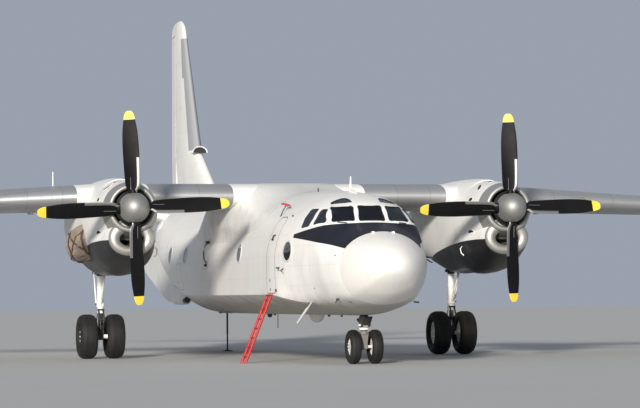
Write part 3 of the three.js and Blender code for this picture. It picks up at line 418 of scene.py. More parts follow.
# Butted sheet edges and rows of flush rivets, on a grid with its own spacing along each axis.
RIVETS_OFF = 0.022
RIVET_PITCH = 0.03
sheet_joints, given, result = new_group(
    "sheet_joints",
    [("Place", "Vector", None), ("Spacing", "Vector", (0.5, 0.5, 0.5)), ("Width", "Float", 0.006)],
    [("Seam", "Float"), ("Rivet", "Float"), ("Sheet", "Float")],
)
cells = node("VectorMath", {0: given["Place"], 1: given["Spacing"]}, operation="DIVIDE").outputs[0]
share = axes_of(node("VectorMath", {0: cells}, operation="FRACTION").outputs[0])
size = axes_of(given["Spacing"])
grains = axes_of(given["Place"])
seam = rivet = 0.0
for axis in ("X", "Y", "Z"):
    gap = times(maths("PINGPONG", share[axis], 0.5), size[axis])
    line = minus(1.0, ramp(gap, times(given["Width"], 0.4), given["Width"]))
    seam = maths("MAXIMUM", line, seam)
    # A row of rivets stands on either side of the seam.
    row = maths("ABSOLUTE", minus(gap, RIVETS_OFF))
    other = {"X": "Y", "Y": "Z", "Z": "Y"}[axis]
    pitch = maths("PINGPONG", grains[other], RIVET_PITCH / 2)
    reach = maths("SQRT", plus(times(row, row), times(pitch, pitch)))
    rivet = maths("MAXIMUM", minus(1.0, ramp(reach, 0.003, 0.006)), rivet)
corner = node("VectorMath", {0: cells}, operation="FLOOR").outputs[0]
sheet = node("TexWhiteNoise", {"Vector": corner}).outputs["Value"]
fill(result, {"Seam": seam, "Rivet": rivet, "Sheet": sheet})

WHITE = (0.87, 0.855, 0.82, 1)
GRIME = (0.30, 0.27, 0.23, 1)
SEAM_TINT = (0.42, 0.40, 0.37, 1)


def painted(name, clean=WHITE, grime=GRIME, amount=0.16, spacing=(90.0, 0.5, 0.42), gloss=0.42,
            seam_share=0.2, extra=None):
    """Gloss paint over riveted sheet. extra(colour, place, roughness) may paint over it."""
    made, shader, place = new_material(name)
    sockets = {"Place": place, "Clean": clean, "Grime": grime, "Amount": amount, "Gloss": gloss}
    worn = use_group(weathering, sockets)
    colour = worn["Color"]
    depth = times(noise(place, 1.7, 2.0), 1.4)
    if seam_share:
        joints = use_group(sheet_joints, {"Place": place, "Spacing": spacing, "Width": 0.006})
        marks = maths("MAXIMUM", joints["Seam"], times(joints["Rivet"], 0.5))
        tone = times(joints["Sheet"], 0.035)
        colour = blend(tone, colour, (0.55, 0.54, 0.5, 1))
        colour = blend(times(marks, seam_share), colour, SEAM_TINT)
        depth = minus(depth, times(marks, 0.35))
    roughness = worn["Roughness"]
    if extra is not None:
        colour, roughness = extra(colour, place, roughness)
    wire(shader, colour, roughness, (depth, 0.35, 0.006), Coat_Weight=0.12, Coat_Roughness=0.35)
    return made


def belly_painted_shade(colour, place, roughness):
    """Painted shade: the belly below the chine is darkened, standing in for the shade under the hull."""
    height = axes_of(place)["Z"]
    drift = times(minus(noise(place, 2.2, 5.0), 0.5), 0.28)
    low = minus(1.0, ramp(plus(height, drift), 1.10, 1.40))
    colour = blend(times(low, 0.66), colour, (0.25, 0.225, 0.195, 1))
    return colour, plus(roughness, times(low, 0.2), clamp=True)


# The hull's white carries painted shade on its belly.
hull_paint = painted("hull_paint", extra=belly_painted_shade)
LINING = (0.42, 0.45, 0.44, 1)
cabin_lining = painted("cabin_lining", LINING, (0.2, 0.2, 0.19, 1), 0.35, (90.0, 0.5, 0.5), 0.55)

# Crew door.
# A plug door in the starboard wall, ahead of the propeller: a curved pan of the same sheet with
# rounded corners and a rubber seal, a short bar handle in the middle of its width, and two small
# vents low down.
DOOR_FROM = 3.93
DOOR_TO = 4.60
DOOR_LOW = 1.375
DOOR_HIGH = 2.885
DOOR_GAP = 0.006
DOOR_SKIN = 0.05
DOOR_REACH = (-2.0, -0.6)
DOOR_CORNERS = [0.10, 0.10, 0.19, 0.19]
SEAL_WIDE = 0.014
HANDLE = [(4.25, 2.43), (4.21, 2.52)]
HANDLE_LIFT = 0.03
VENT_STATION = 4.31
VENT_HEIGHTS = (1.63, 1.45)
VENT_RADIUS = 0.032
RIBBON_FOOT = 0.004


def rounded(outline, radius, steps=5):
    """An outline with its corners rounded. radius is one value, or one for each corner."""
    count = len(outline)
    radii = [radius] * count if isinstance(radius, (int, float)) else radius
    made = []
    for i, corner in enumerate(outline):
        here = Vector(corner)
        back = (Vector(outline[i - 1]) - here).normalized()
        on = (Vector(outline[(i + 1) % count]) - here).normalized()
        half = back.angle(on) / 2
        reach = radii[i] / math.tan(half)
        start, end = here + back * reach, here + on * reach
        for k in range(steps + 1):
            t = k / steps
            made.append(tuple((1 - t) ** 2 * start + 2 * t * (1 - t) * here + t * t * end))
    return made


def rectangle(left, right, low, high):
    """The corners of a rectangle, from its lower left round to its upper left."""
    return [(left, low), (right, low), (right, high), (left, high)]


def door_outline(gap):
    corners = rectangle(DOOR_FROM + gap, DOOR_TO - gap, DOOR_LOW + gap, DOOR_HIGH - gap)
    return [(at(s), z) for s, z in rounded(corners, DOOR_CORNERS)]


def flank_x(station, z, grow=0.0):
    """How far out the hull's side is at a station and height."""
    wide, mid, top, chine_x, chine_z, low, power = smooth_rows(HULL, [station], 0.5)[0]
    wide, top, low = wide + grow, top + grow, low - grow
    if z >= mid:
        return wide * max(0.0, 1 - ((z - mid) / (top - mid)) ** power) ** (1 / power)
    if z < chine_z:
        return chine_x * math.sqrt(max(0.0, (z - low) / (chine_z - low)))
    deep = (mid - chine_z) / math.sqrt(1 - (chine_x / wide) ** 2)
    return wide * math.sqrt(max(0.0, 1 - ((z - mid) / deep) ** 2))


cabin_skin = hull_shell("cabin_skin", stations_between(CABIN_START, RAMP_START - JOINT_GAP), SKIN)
door_pan = hull_shell("crew_door_pan", stations_between(DOOR_FROM - 0.1, DOOR_TO + 0.1), DOOR_SKIN)
carve(door_pan, prism("door_keep", door_outline(DOOR_GAP), "X", *DOOR_REACH), "INTERSECT")
carve(cabin_skin, prism("door_hole", door_outline(0.0), "X", *DOOR_REACH))
cabin_nodes = ("cabin_shell_front", "cabin_shell", "cabin_shell_rear")
dress(cabin_skin, hull_paint, stands_for=cabin_nodes)
dress(door_pan, hull_paint, stands_for=("crew_door",))

SOOT = (0.012, 0.012, 0.013, 1)
dark_rubber = mottled("dark_rubber", SOOT, (0.035, 0.034, 0.033, 1), 60.0, 3.0, (0.5, 0.25))


def hull_ribbon(name, points, width, finish, side, lift):
    """A thin closed strip that lies on the hull's side round (station, z) points."""
    points = [Vector(p) for p in points]
    points.append(points[0])
    fine = [points[0]]
    for a, b in zip(points, points[1:]):
        steps = max(1, int((b - a).length / 0.06))
        fine += [a.lerp(b, k / steps) for k in range(1, steps + 1)]
    vertices = []
    for i, p in enumerate(fine):
        run = (fine[min(i + 1, len(fine) - 1)] - fine[max(i - 1, 0)]).normalized()
        across = Vector((-run.y, run.x)) * width / 2
        for way, grow in ((-1, -RIBBON_FOOT), (-1, lift), (1, lift), (1, -RIBBON_FOOT)):
            q = p + way * across
            vertices.append((side * flank_x(q.x, q.y, grow), at(q.x), q.y))
    return dress(make_piece(name, vertices, ring_faces(len(fine), 4)), finish)


def circle(count):
    """Angles in even steps round a circle."""
    return [2 * math.pi * k / count for k in range(count)]


def hull_disc(name, station, z, outer, inner, side, lift, finish, edge=0.004, steps=32):
    """A flat ring or disc bent to the hull's side, with a small raised edge."""
    radii = [outer, outer - edge, inner] if inner else [outer, outer - edge, outer * 0.66, outer * 0.33]
    lifts = [-0.003] + [lift] * (len(radii) - 1)
    vertices = []
    for radius, grow in zip(radii, lifts):
        for a in circle(steps):
            s, h = station + radius * math.cos(a), z + radius * math.sin(a)
            vertices.append((side * flank_x(s, h, grow), at(s), h))
    faces = ring_faces(len(radii), steps, caps=False)
    if not inner:
        faces.append(tuple(range((len(radii) - 1) * steps, len(radii) * steps)))
    return dress(make_piece(name, vertices, faces), finish)


seal_line = [(y - at(0), z) for y, z in door_outline(DOOR_GAP / 2)]
hull_ribbon("crew_door_seal", seal_line, SEAL_WIDE, dark_rubber, -1, 0.0005)

STEEL = (0.56, 0.56, 0.55, 1)
plated_steel = mottled("plated_steel", STEEL, (0.34, 0.34, 0.33, 1), 22.0, 5.0, (0.26, 0.25),
                       (0.4, 0.7), 0.65, Metallic=0.85)


def tube(name, points, radius, sides=10, closed=False):
    """A round rod or pipe along a line of points; radius may be one for each point."""
    points = [Vector(p) for p in points]
    radii = [radius] * len(points) if isinstance(radius, (int, float)) else radius
    rings = []
    guide = Vector((0.31, 0.17, 0.93))
    for i, p in enumerate(points):
        before = points[i - 1] if (i or closed) else p
        after = points[(i + 1) % len(points)] if (i + 1 < len(points) or closed) else p
        run = (after - before).normalized()
        side = run.cross(guide).normalized()
        lift = side.cross(run)
        spokes = [math.cos(a) * side + math.sin(a) * lift for a in circle(sides)]
        rings.append([tuple(p + radii[i] * spoke) for spoke in spokes])
    return loft(name, rings, wrap=closed)


def join(name, pieces):
    """Pieces of one kind as a single object."""
    edit = bmesh.new()
    for piece in pieces:
        edit.from_mesh(piece.data)
        bpy.data.objects.remove(piece)
    mesh = bpy.data.meshes.new(name)
    edit.to_mesh(mesh)
    edit.free()
    made = bpy.data.objects.new(name, mesh)
    scene.collection.objects.link(made)
    return made


def door_side(station, z, lift):
    return (-flank_x(station, z, lift), at(station), z)


low, high = HANDLE
grip = [door_side(*low, 0.0), door_side(*low, HANDLE_LIFT)]
grip += [door_side(*high, HANDLE_LIFT), door_side(*high, 0.0)]
handle = [tube("grip", grip, 0.014)]
handle += [tube("boss", [door_side(s, z, -0.01), door_side(s, z, 0.008)], 0.02, 16) for s, z in HANDLE]
dress(join("crew_door_handle", handle), dark_rubber)
for k, z in enumerate(VENT_HEIGHTS):
    hull_disc(f"crew_door_vent_{k}", VENT_STATION, z, VENT_RADIUS, 0.0, -1, 0.002, dark_rubber)

# Radome and cockpit shell.
# The nose cap is a moulded glass-cloth cap held by latches. Behind it the cockpit is stretched
# sheet over close frames, with a deep navy anti-glare band under the windscreen.
BAND_COLOUR = (0.0045, 0.006, 0.013, 1)
BAND_FRONT = 0.917
BAND_END = 3.06
BAND_LOW = 2.19
BAND_RISE = 0.152
BAND_BOW = -0.0153
BAND_HIGH = 2.70
BAND_FALL = 0.132
BAND_FALL_FROM = 1.65
PAINT_EDGE = 0.003
CENTRE_PANE = [(-0.254, 2.735), (0.254, 2.735), (0.225, 3.032), (-0.225, 3.032)]
FRONT_PANE = [(0.343, 2.737), (0.758, 2.718), (0.680, 3.014), (0.312, 3.024)]
EYEBROW = [(0.285, 3.108), (0.420, 3.090), (0.640, 3.072), (0.605, 3.113), (0.505, 3.156),
           (0.400, 3.188), (0.335, 3.190), (0.295, 3.165)]
SIDE_PANES = [
    [(1.975, 2.715), (2.345, 2.683), (2.462, 2.971), (2.305, 2.970)],
    [(2.505, 2.657), (2.800, 2.629), (2.862, 2.812), (2.890, 2.990), (2.600, 2.986), (2.500, 2.810)],
]
PANE_CORNER = 0.035
OUTER_CORNER = 0.03
EYEBROW_CORNER = 0.012
SCREEN_CUT = (1.4, 2.75)
SIDE_CUT = {"port": (0.4, 1.6), "starboard": (-1.6, -0.4)}
NOSE_Z = 1.85
LIP_SHARE = 0.985
SIDES = {"port": 1, "starboard": -1}
GLASS_SINK = 0.005
GLASS_THICK = 0.009


def anti_glare(colour, place, roughness):
    """The band is a wedge in side view: up to the panes, and down to a nearly straight line."""
    axes = axes_of(place)
    run = minus(axes["Y"], at(BAND_FRONT))
    bow = times(times(run, run), BAND_BOW)
    low_line = plus(BAND_LOW, plus(times(run, BAND_RISE), bow))
    above = ramp(minus(axes["Z"], low_line), -PAINT_EDGE, PAINT_EDGE)
    # Its upper edge runs level under the panes, then falls a little to a blunt end aft.
    aft = maths("MAXIMUM", minus(axes["Y"], at(BAND_FALL_FROM)), 0.0)
    high_line = minus(BAND_HIGH, times(aft, BAND_FALL))
    below = ramp(minus(high_line, axes["Z"]), -PAINT_EDGE, PAINT_EDGE)
    ahead = ramp(minus(at(BAND_END), axes["Y"]), -PAINT_EDGE, PAINT_EDGE)
    band = times(times(above, below), ahead)
    # The cockpit's belly carries the same painted shade.
    colour, roughness = belly_painted_shade(colour, place, roughness)
    colour = blend(band, colour, BAND_COLOUR)
    return colour, plus(roughness, times(band, 0.12))


cockpit_paint = painted("cockpit_paint", spacing=(90.0, 0.46, 0.38), extra=anti_glare)
radome_paint = painted("radome_paint", (0.76, 0.74, 0.71, 1), GRIME, 0.12, gloss=0.46, seam_share=0)

nose_tip = np.linspace(0, 1, 26)[:-1] ** 2 * 0.5
nose_stations = np.concatenate([nose_tip, stations_between(0.5, CABIN_START - 0.001, 0.05)])
before_joint = nose_stations[nose_stations < COCKPIT_START - 0.02]
radome_stations = np.unique(np.concatenate([before_joint, [COCKPIT_START - 0.006]]))
radome_rings = hull_rings(radome_stations)
# The last ring turns in a little, so that the joint shows as a thin dark line.
lip = (radome_rings[-1:] - (0, 0, NOSE_Z)) * (LIP_SHARE, 1, LIP_SHARE) + (0, 0.004, NOSE_Z)
radome_rings = np.concatenate([radome_rings, lip])
radome = loft("radome_cap", radome_rings)
dress(radome, radome_paint, stands_for=("radome",))

cockpit_end = CABIN_START - JOINT_GAP
between = nose_stations[(nose_stations > COCKPIT_START) & (nose_stations < cockpit_end)]
cockpit_stations = np.concatenate([[COCKPIT_START], between, [cockpit_end]])
cockpit_skin = hull_shell("cockpit_skin", cockpit_stations, COCKPIT_SKIN)
pressure_wall = loft("pressure_bulkhead", hull_rings([1.12, 1.15], -COCKPIT_SKIN))
dress(pressure_wall, cabin_lining)

screen_ball = BVHTree.FromObject(cockpit_skin, bpy.context.evaluated_depsgraph_get())


def skin_hit(origin, way):
    """Where a line from outside meets the cockpit, and which way the skin faces there."""
    return screen_ball.ray_cast(Vector(origin), Vector(way))[:2]


def pane_outlines():
    """Each pane's outline as points on the skin, with the way that its opening is cut."""
    mirrored = [[(-x, z) for x, z in outline][::-1] for outline in (FRONT_PANE, EYEBROW)]
    for outline in (CENTRE_PANE, FRONT_PANE, EYEBROW, *mirrored):
        flat = rounded(outline, EYEBROW_CORNER if len(outline) > 4 else PANE_CORNER, 3)
        yield "Y", flat, [skin_hit((x, -13, z), (0, 1, 0)) for x, z in flat]
    for side, sign in SIDES.items():
        for outline in SIDE_PANES:
            corners = [OUTER_CORNER, *[PANE_CORNER] * (len(outline) - 2), OUTER_CORNER]
            flat = [(at(s), z) for s, z in rounded(outline, corners, 3)]
            yield side, flat, [skin_hit((sign * 3, y, z), (-sign, 0, 0)) for y, z in flat]


panes, seals, cutters = [], [], []
for way, flat, hits in pane_outlines():
    rim = [p for p, n in hits]
    normals = [n for p, n in hits]
    middle = sum(rim, Vector()) / len(rim)
    facing = sum(normals, Vector()).normalized()
    sunk = [p - facing * GLASS_SINK for p in rim]
    back = [p - facing * (GLASS_SINK + GLASS_THICK) for p in rim]
    count = len(rim)
    vertices = [middle - facing * GLASS_SINK] + sunk
    vertices += [middle - facing * (GLASS_SINK + GLASS_THICK)] + back
    faces = []
    for i in range(count):
        a, b = 1 + i, 1 + (i + 1) % count
        c, d = a + count + 1, b + count + 1
        faces += [(0, a, b), (count + 1, d, c), (a, c, d, b)]
    panes.append(make_piece("pane", vertices, faces))
    seals.append(tube("seal", [p - facing * 0.004 for p in rim], 0.011, 6, closed=True))
    if way == "Y":
        cutters.append(prism("cut", flat, "Y", *map(at, SCREEN_CUT)))
    else:
        cutters.append(prism("cut", flat, "X", *SIDE_CUT[way]))
for cutter in cutters:
    carve(cockpit_skin, cutter)
dress(cockpit_skin, cockpit_paint, stands_for=("cockpit_shell",))

TINT = (0.20, 0.24, 0.32, 1)
tinted_glass = mottled("tinted_glass", TINT, (0.13, 0.16, 0.23, 1), 3.0, 4.0, (0.03, 0.05),
                       Transmission_Weight=1.0, IOR=1.5)
dress(join("cockpit_panes", panes), tinted_glass, stands_for=("cockpit_glazing",),
      smooth=20)
dress(join("cockpit_pane_seals", seals), dark_rubber)

# Inside the cockpit.
# Two cloth-covered seats stand on the floor behind a grey-green crackle-painted instrument panel
# with its pedestal, and a light bulkhead closes the cockpit off from the hold.
seat_cloth, shader, place = new_material("seat_cloth")
threads = node("TexWave", {"Vector": place, "Scale": 160.0, "Distortion": 1.5}).outputs["Fac"]
cloth = blend(noise(place, 4.0, 4.0), (0.10, 0.115, 0.13, 1), (0.055, 0.06, 0.07, 1))
wire(shader, blend(times(threads, 0.3), cloth, (0.2, 0.2, 0.2, 1)), 0.9, (threads, 0.3, 0.002))

crackle_paint, shader, place = new_material("crackle_paint")
crackle = node("TexVoronoi", {"Vector": place, "Scale": 90.0}, feature="DISTANCE_TO_EDGE")
ridge = ramp(crackle.outputs["Distance"], 0.0, 0.1)
panel_tone = blend(noise(place, 7.0, 5.0), (0.13, 0.17, 0.165, 1), (0.07, 0.09, 0.09, 1))
wire(shader, blend(ridge, (0.03, 0.035, 0.035, 1), panel_tone), 0.62, (ridge, 0.3, 0.001))


def finish_nodes(finish, *names):
    """Gives kept pieces of the frame a finish of their own."""
    for name in names:
        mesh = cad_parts[name].data
        for k in range(len(mesh.materials)):
            mesh.materials[k] = finish


finish_nodes(seat_cloth, "pilot_seat_port", "pilot_seat_starboard")
finish_nodes(crackle_paint, "instrument_panel")
finish_nodes(cabin_lining, "cockpit_bulkhead")

# Hold floor.
# A riveted deck of light alloy planks on beams, grey-green and scuffed by freight. Its edges are
# screwed down to the hull's frames along both walls.
DECK_DEEP = 0.09
deck_edge = stations_between(CABIN_START + 0.01, RAMP_START - 0.02, 0.4)
deck_half = [flank_x(s, FLOOR_Z - DECK_DEEP) - SKIN * 0.7 for s in deck_edge]
deck_outline = [(-x, at(s)) for x, s in zip(deck_half, deck_edge)]
deck_outline += [(-x, y) for x, y in deck_outline[::-1]]
deck = prism("hold_deck", deck_outline, "Z", FLOOR_Z - DECK_DEEP, FLOOR_Z)
dress(deck, cabin_lining, stands_for=("cabin_floor",))

# Round windows and side hatches.
# Each window is a round pane of acrylic in a bolted light-alloy ring, flush with the skin. The
# hatches are plain sheet doors, and only their thin rubber seals show.
WINDOW_RADIUS = 0.205
WINDOWS = [(3.24, 2.19), (7.38, 2.225), (13.60, 2.285), (15.65, 2.32)]
# Columns: front and rear edge, lower and upper edge, radius of the corners.
HATCHES = [(10.75, 11.35, 1.95, 2.72, 0.09), (14.1, 14.75, 1.5, 2.1, 0.06)]

# The panes are opaque near-black discs under a clear glossy coat: painted shade for the dark cabin seen
# through the glass.
CABIN_SHADE = (0.012, 0.015, 0.02, 1)
shaded_window_pane = mottled("shaded_window_pane", CABIN_SHADE, (0.04, 0.045, 0.052, 1), 9.0, 4.0, (0.06, 0.1),
                    Coat_Weight=1.0, Coat_Roughness=0.05)

window_ring, shader, place = new_material("window_ring")
bolts = node("TexVoronoi", {"Vector": place, "Scale": 24.0}).outputs["Distance"]
dots = minus(1.0, ramp(bolts, 0.08, 0.16))
tone = blend(noise(place, 12.0), (0.74, 0.73, 0.70, 1), (0.6, 0.59, 0.57, 1))
wire(shader, blend(times(dots, 0.5), tone, (0.3, 0.3, 0.3, 1)), plus(0.3, times(dots, 0.3)))

for k, (station, z) in enumerate(WINDOWS):
    for side, sign in SIDES.items():
        hull_disc(f"window_pane_{side}_{k}", station, z, WINDOW_RADIUS - 0.02, 0.0, sign, 0.003, shaded_window_pane)
        hull_disc(f"window_ring_{side}_{k}", station, z, WINDOW_RADIUS + 0.015, WINDOW_RADIUS - 0.022,
                  sign, 0.009, window_ring, edge=0.006)
for k, (start, end, low, high, corner) in enumerate(HATCHES):
    outline = rounded(rectangle(start, end, low, high), corner)
    for side, sign in SIDES.items():
        hull_ribbon(f"hatch_seal_{side}_{k}", outline, 0.005, dark_rubber, sign, 0.0008)

# Wing fairing.
# Hand-beaten sheet fairings blend the wing into the top of the hull, with a fillet under the wing.
# They are painted like the hull and held by screws along their edges.
# Columns: station, half width, top, height of the shoulder, power of the section's curve.
SADDLE = [
    (5.90, 1.25, 3.444, 2.62, 1.7),
    (6.60, 1.290, 3.480, 2.64, 1.85),
    (7.20, 1.315, 3.545, 2.68, 2.15),
    (7.70, 1.335, 3.620, 2.74, 2.7),
    (8.10, 1.370, 3.690, 2.80, 3.5),
    (8.60, 1.425, 3.744, 2.86, 4.8),
    (10.30, 1.44, 3.740, 2.88, 5.0),
    (11.40, 1.38, 3.660, 2.80, 3.6),
    (12.30, 1.33, 3.560, 2.70, 2.4),
    (13.20, 1.25, 3.462, 2.62, 1.7),
]
FILLET_DEEP = 0.45


def saddle_ring(row):
    station, wide, top, shoulder, power = row
    ring = []
    for a in np.linspace(0, math.pi, 41):
        c, s = math.cos(a), math.sin(a)
        x = wide * np.sign(c) * abs(c) ** (2 / power)
        ring.append((x, shoulder + (top - shoulder) * s ** (2 / power)))
    fillet = []
    for t in np.linspace(0, 1, 9)[1:]:
        z = shoulder - FILLET_DEEP * t
        ease = t * t * (3 - 2 * t)
        fillet.append((wide + (flank_x(station, z, -0.004) - wide) * ease, z))
    ring += [(-x, z) for x, z in fillet] + fillet[::-1]
    return [(x, at(station), z) for x, z in ring]


saddle_stations = stations_between(SADDLE[0][0], SADDLE[-1][0], 0.1)
saddle_rows = np.column_stack([saddle_stations, smooth_rows(SADDLE, saddle_stations)])
fairing_paint = painted("fairing_paint", (0.79, 0.775, 0.74, 1), GRIME, 0.3, (0.9, 0.8, 90.0), 0.36)
saddle = loft("wing_fairing", [saddle_ring(row) for row in saddle_rows])
dress(saddle, fairing_paint, stands_for=("wing_saddle",))

# Rear fuselage, cargo ramp and tail cone.
# The hull rises behind the hold over a ramp that is hinged at its front edge and lowers to the
# ground. All of it is riveted sheet; the tail cone is a separate light cap.
REAR_SKIN = 0.055
RAMP_HALF = 1.05
RAMP_DEEP = 0.26
RAMP_GAP = 0.015
RAMP_END = 19.6
RAMP_HINGE = (16.02, 0.945)
LUG_X = (-0.16, 0.10)
LUG_WIDE = 0.06


def belly_at(station):
    return smooth_rows(HULL, [station], 0.5)[0][5]


ramp_reach = math.hypot(RAMP_END - RAMP_HINGE[0], belly_at(RAMP_END) - RAMP_HINGE[1])
ramp_lip_z = belly_at(RAMP_END) + RAMP_DEEP - 0.03
ramp_lip = (RAMP_HINGE[0] + math.sqrt(ramp_reach**2 - (ramp_lip_z - RAMP_HINGE[1]) ** 2), ramp_lip_z)


def ramp_outline(gap, rise=0.0):
    outline = [
        (RAMP_HINGE[0] - 2 * gap, 0.5),
        (RAMP_END + gap + 1.0, 0.5),
        (RAMP_END + gap, belly_at(RAMP_END) - 0.08),
        (ramp_lip[0] + gap, ramp_lip[1]),
    ]
    if rise:
        outline.append((ramp_lip[0] + gap, ramp_lip[1] + rise))
    outline.append((RAMP_HINGE[0] - 2 * gap, FLOOR_Z + rise))
    return [(at(s), z) for s, z in outline]


rear_skin = hull_shell("rear_skin", stations_between(RAMP_START, TAIL_START - JOINT_GAP), REAR_SKIN)
way_half = RAMP_HALF + RAMP_GAP
carve(rear_skin, prism("ramp_way", ramp_outline(RAMP_GAP, 0.9), "X", -way_half, way_half))
dress(rear_skin, hull_paint, stands_for=("rear_fuselage",))
ramp_door = loft("ramp_door", hull_rings(stations_between(RAMP_START + 0.004, TAIL_START)))
carve(ramp_door, prism("ramp_keep", ramp_outline(0.0), "X", -RAMP_HALF, RAMP_HALF), "INTERSECT")
for side in (-1, 1):
    room = rectangle(side * 0.09, side * 0.17, at(15.99), at(16.065))
    carve(ramp_door, prism("lug_room", room, "Z", 0.88, 1.02))
dress(ramp_door, hull_paint, "cargo_ramp", stands_for=("cargo_ramp",))
hinge_y = at(RAMP_HINGE[0])
hinge_z = RAMP_HINGE[1]
pin = tube("ramp_hinge_pin", [(-0.175, hinge_y, hinge_z), (0.175, hinge_y, hinge_z)], 0.012, 16)
dress(pin, plated_steel, "cargo_ramp")
lugs = []
for x in LUG_X:
    lugs.append(tube("lug", [(x, hinge_y, hinge_z), (x + LUG_WIDE, hinge_y, hinge_z)], 0.025, 20))
    web = rectangle(x, x + LUG_WIDE, hinge_y - 0.04, hinge_y)
    lugs.append(prism("web", web, "Z", hinge_z, 1.0))
dress(join("ramp_hinge_lugs", lugs), plated_steel)

tail_stations = stations_between(TAIL_START, LENGTH, 0.1)
tail_cap = loft("tail_cap", hull_rings(tail_stations))
tail_paint = painted("tail_paint", (0.8, 0.785, 0.75, 1), GRIME, 0.3, (90.0, 0.6, 90.0))
dress(tail_cap, tail_paint, stands_for=("tail_cone",))

# Ventral strakes.
# A rounded fairing for the ramp's rails stands beside the hold and thins into a long fin under the
# rear fuselage. Both are riveted sheet, painted like the wing fairing.
STRAKE_X = (1.095, 1.175)
# Columns: station, height, radius of the corner.
STRAKE_FIN = [
    (14.75, 1.50, 0.04), (14.85, 1.24, 0.05), (15.05, 1.15, 0.1), (16.0, 1.14, 0.3), (17.34, 1.225, 0.3),
    (18.04, 1.35, 0.3), (18.7, 1.505, 0.3), (19.77, 1.76, 0.4), (20.7, 1.98, 0.14), (20.9, 2.2, 0.1),
    (20.5, 2.45, 0.1), (19.3, 2.70, 0.1),
]
# Columns: station, outer X, lowest and highest point of the box fairing.
STRAKE_BOX = [
    (14.76, 1.20, 1.30, 1.44), (14.86, 1.29, 1.20, 1.52), (15.05, 1.328, 1.15, 1.56),
    (15.60, 1.33, 1.145, 1.56), (16.00, 1.32, 1.15, 1.58), (16.30, 1.27, 1.23, 1.62),
    (16.50, 1.19, 1.33, 1.66),
]


def strake_ring(row):
    station, outer, low, high = row
    inner = STRAKE_X[0] - 0.05
    middle, half_x = (outer + inner) / 2, (outer - inner) / 2
    centre, half_z = (low + high) / 2, (high - low) / 2
    ring = []
    for a in circle(32):
        c, s = math.cos(a), math.sin(a)
        x = middle + half_x * math.copysign(abs(c) ** 0.5, c)
        ring.append((x, at(station), centre + half_z * math.copysign(abs(s) ** 0.6, s)))
    return ring


strake_stations = stations_between(STRAKE_BOX[0][0], STRAKE_BOX[-1][0], 0.06)
strake_rows = np.column_stack([strake_stations, smooth_rows(STRAKE_BOX, strake_stations)])
fin_corners = rounded([row[:2] for row in STRAKE_FIN], [row[2] for row in STRAKE_FIN], 6)
fin_outline = [(at(s), z) for s, z in fin_corners]
for side, sign in SIDES.items():
    box_fairing = loft("box", np.array([strake_ring(row) for row in strake_rows]) * (sign, 1, 1))
    fin_sheet = prism("sheet", fin_outline, "X", sign * STRAKE_X[0], sign * STRAKE_X[1])
    strake = join(f"strake_{side}", [box_fairing, fin_sheet])
    dress(strake, fairing_paint, stands_for=(f"ventral_strake_{side}",))

# Wing, tail and fin surfaces.
# Sections with a thick rounded nose that taper to a thin trailing edge, skinned with riveted
# sheet. A moving surface has a round nose that turns in a cove of the fixed part.
CHORD_SHARES = [0.5 * (1 - math.cos(math.pi * k / 30)) for k in range(1, 31)]
EDGE_SHARE = 0.002
RUN = 0.012
END_RUN = 0.035
FAR = 3.5
ALL_HEIGHTS = (0.0, 6.0)


def thickness(u):
    """Half thickness at a share of the chord, as a share of the greatest thickness."""
    return 5 * (0.2969 * math.sqrt(u) - 0.126 * u - 0.3516 * u**2 + 0.2843 * u**3 - 0.0975 * u**4)


def section(row, upright):
    """A closed section. row holds out, lead (station), chord, thick, z, camber and incidence."""
    out, lead, chord, thick, z, camber, tilt = row
    upper = [(0.0, 0.0)]
    lower = []
    for u in CHORD_SHARES:
        half = thick * thickness(u) + EDGE_SHARE * min(1.0, u * 40)
        bend = camber * 4 * u * (1 - u)
        upper.append((u * chord, (bend + half) * chord))
        lower.append((u * chord, (bend - half) * chord))
    c, s = math.cos(tilt), math.sin(tilt)
    points = upper + lower[::-1]
    if upright:
        return [(v, at(lead) + u, out) for u, v in points]
    return [(out, at(lead) + u * c + v * s, z - u * s + v * c) for u, v in points]


def surface(name, rows, upright=False):
    return loft(name, [section(row, upright) for row in rows])


def row_at(rows, out):
    """A row between two others, with its depth mixed as the straight skin has it."""
    k = next((i for i, row in enumerate(rows) if row[0] >= out), len(rows) - 1)
    k = max(k, 1)
    a, b = rows[k - 1], rows[k]
    t = (out - a[0]) / (b[0] - a[0])
    mixed = [p + (q - p) * t for p, q in zip(a, b)]
    deep = a[2] * a[3] + (b[2] * b[3] - a[2] * a[3]) * t
    mixed[3] = deep / mixed[2]
    return mixed


def hinge_at(rows, out, share):
    """A point of the hinge line as (out, y, z), and the half thickness there."""
    out, lead, chord, thick, z, camber, tilt = row_at(rows, out)
    u, v = share * chord, camber * 4 * share * (1 - share) * chord
    c, s = math.cos(tilt), math.sin(tilt)
    return out, at(lead) + u * c + v * s, z - u * s + v * c, (thick * thickness(share) + EDGE_SHARE) * chord


def copy_of(piece, name):
    other = piece.copy()
    other.data = piece.data.copy()
    other.name = name
    scene.collection.objects.link(other)
    return other


def flip(piece):
    """Moves a piece to the other side of the aircraft."""
    piece.data.transform(Matrix.Diagonal((-1, 1, 1, 1)))
    piece.data.flip_normals()
    return piece


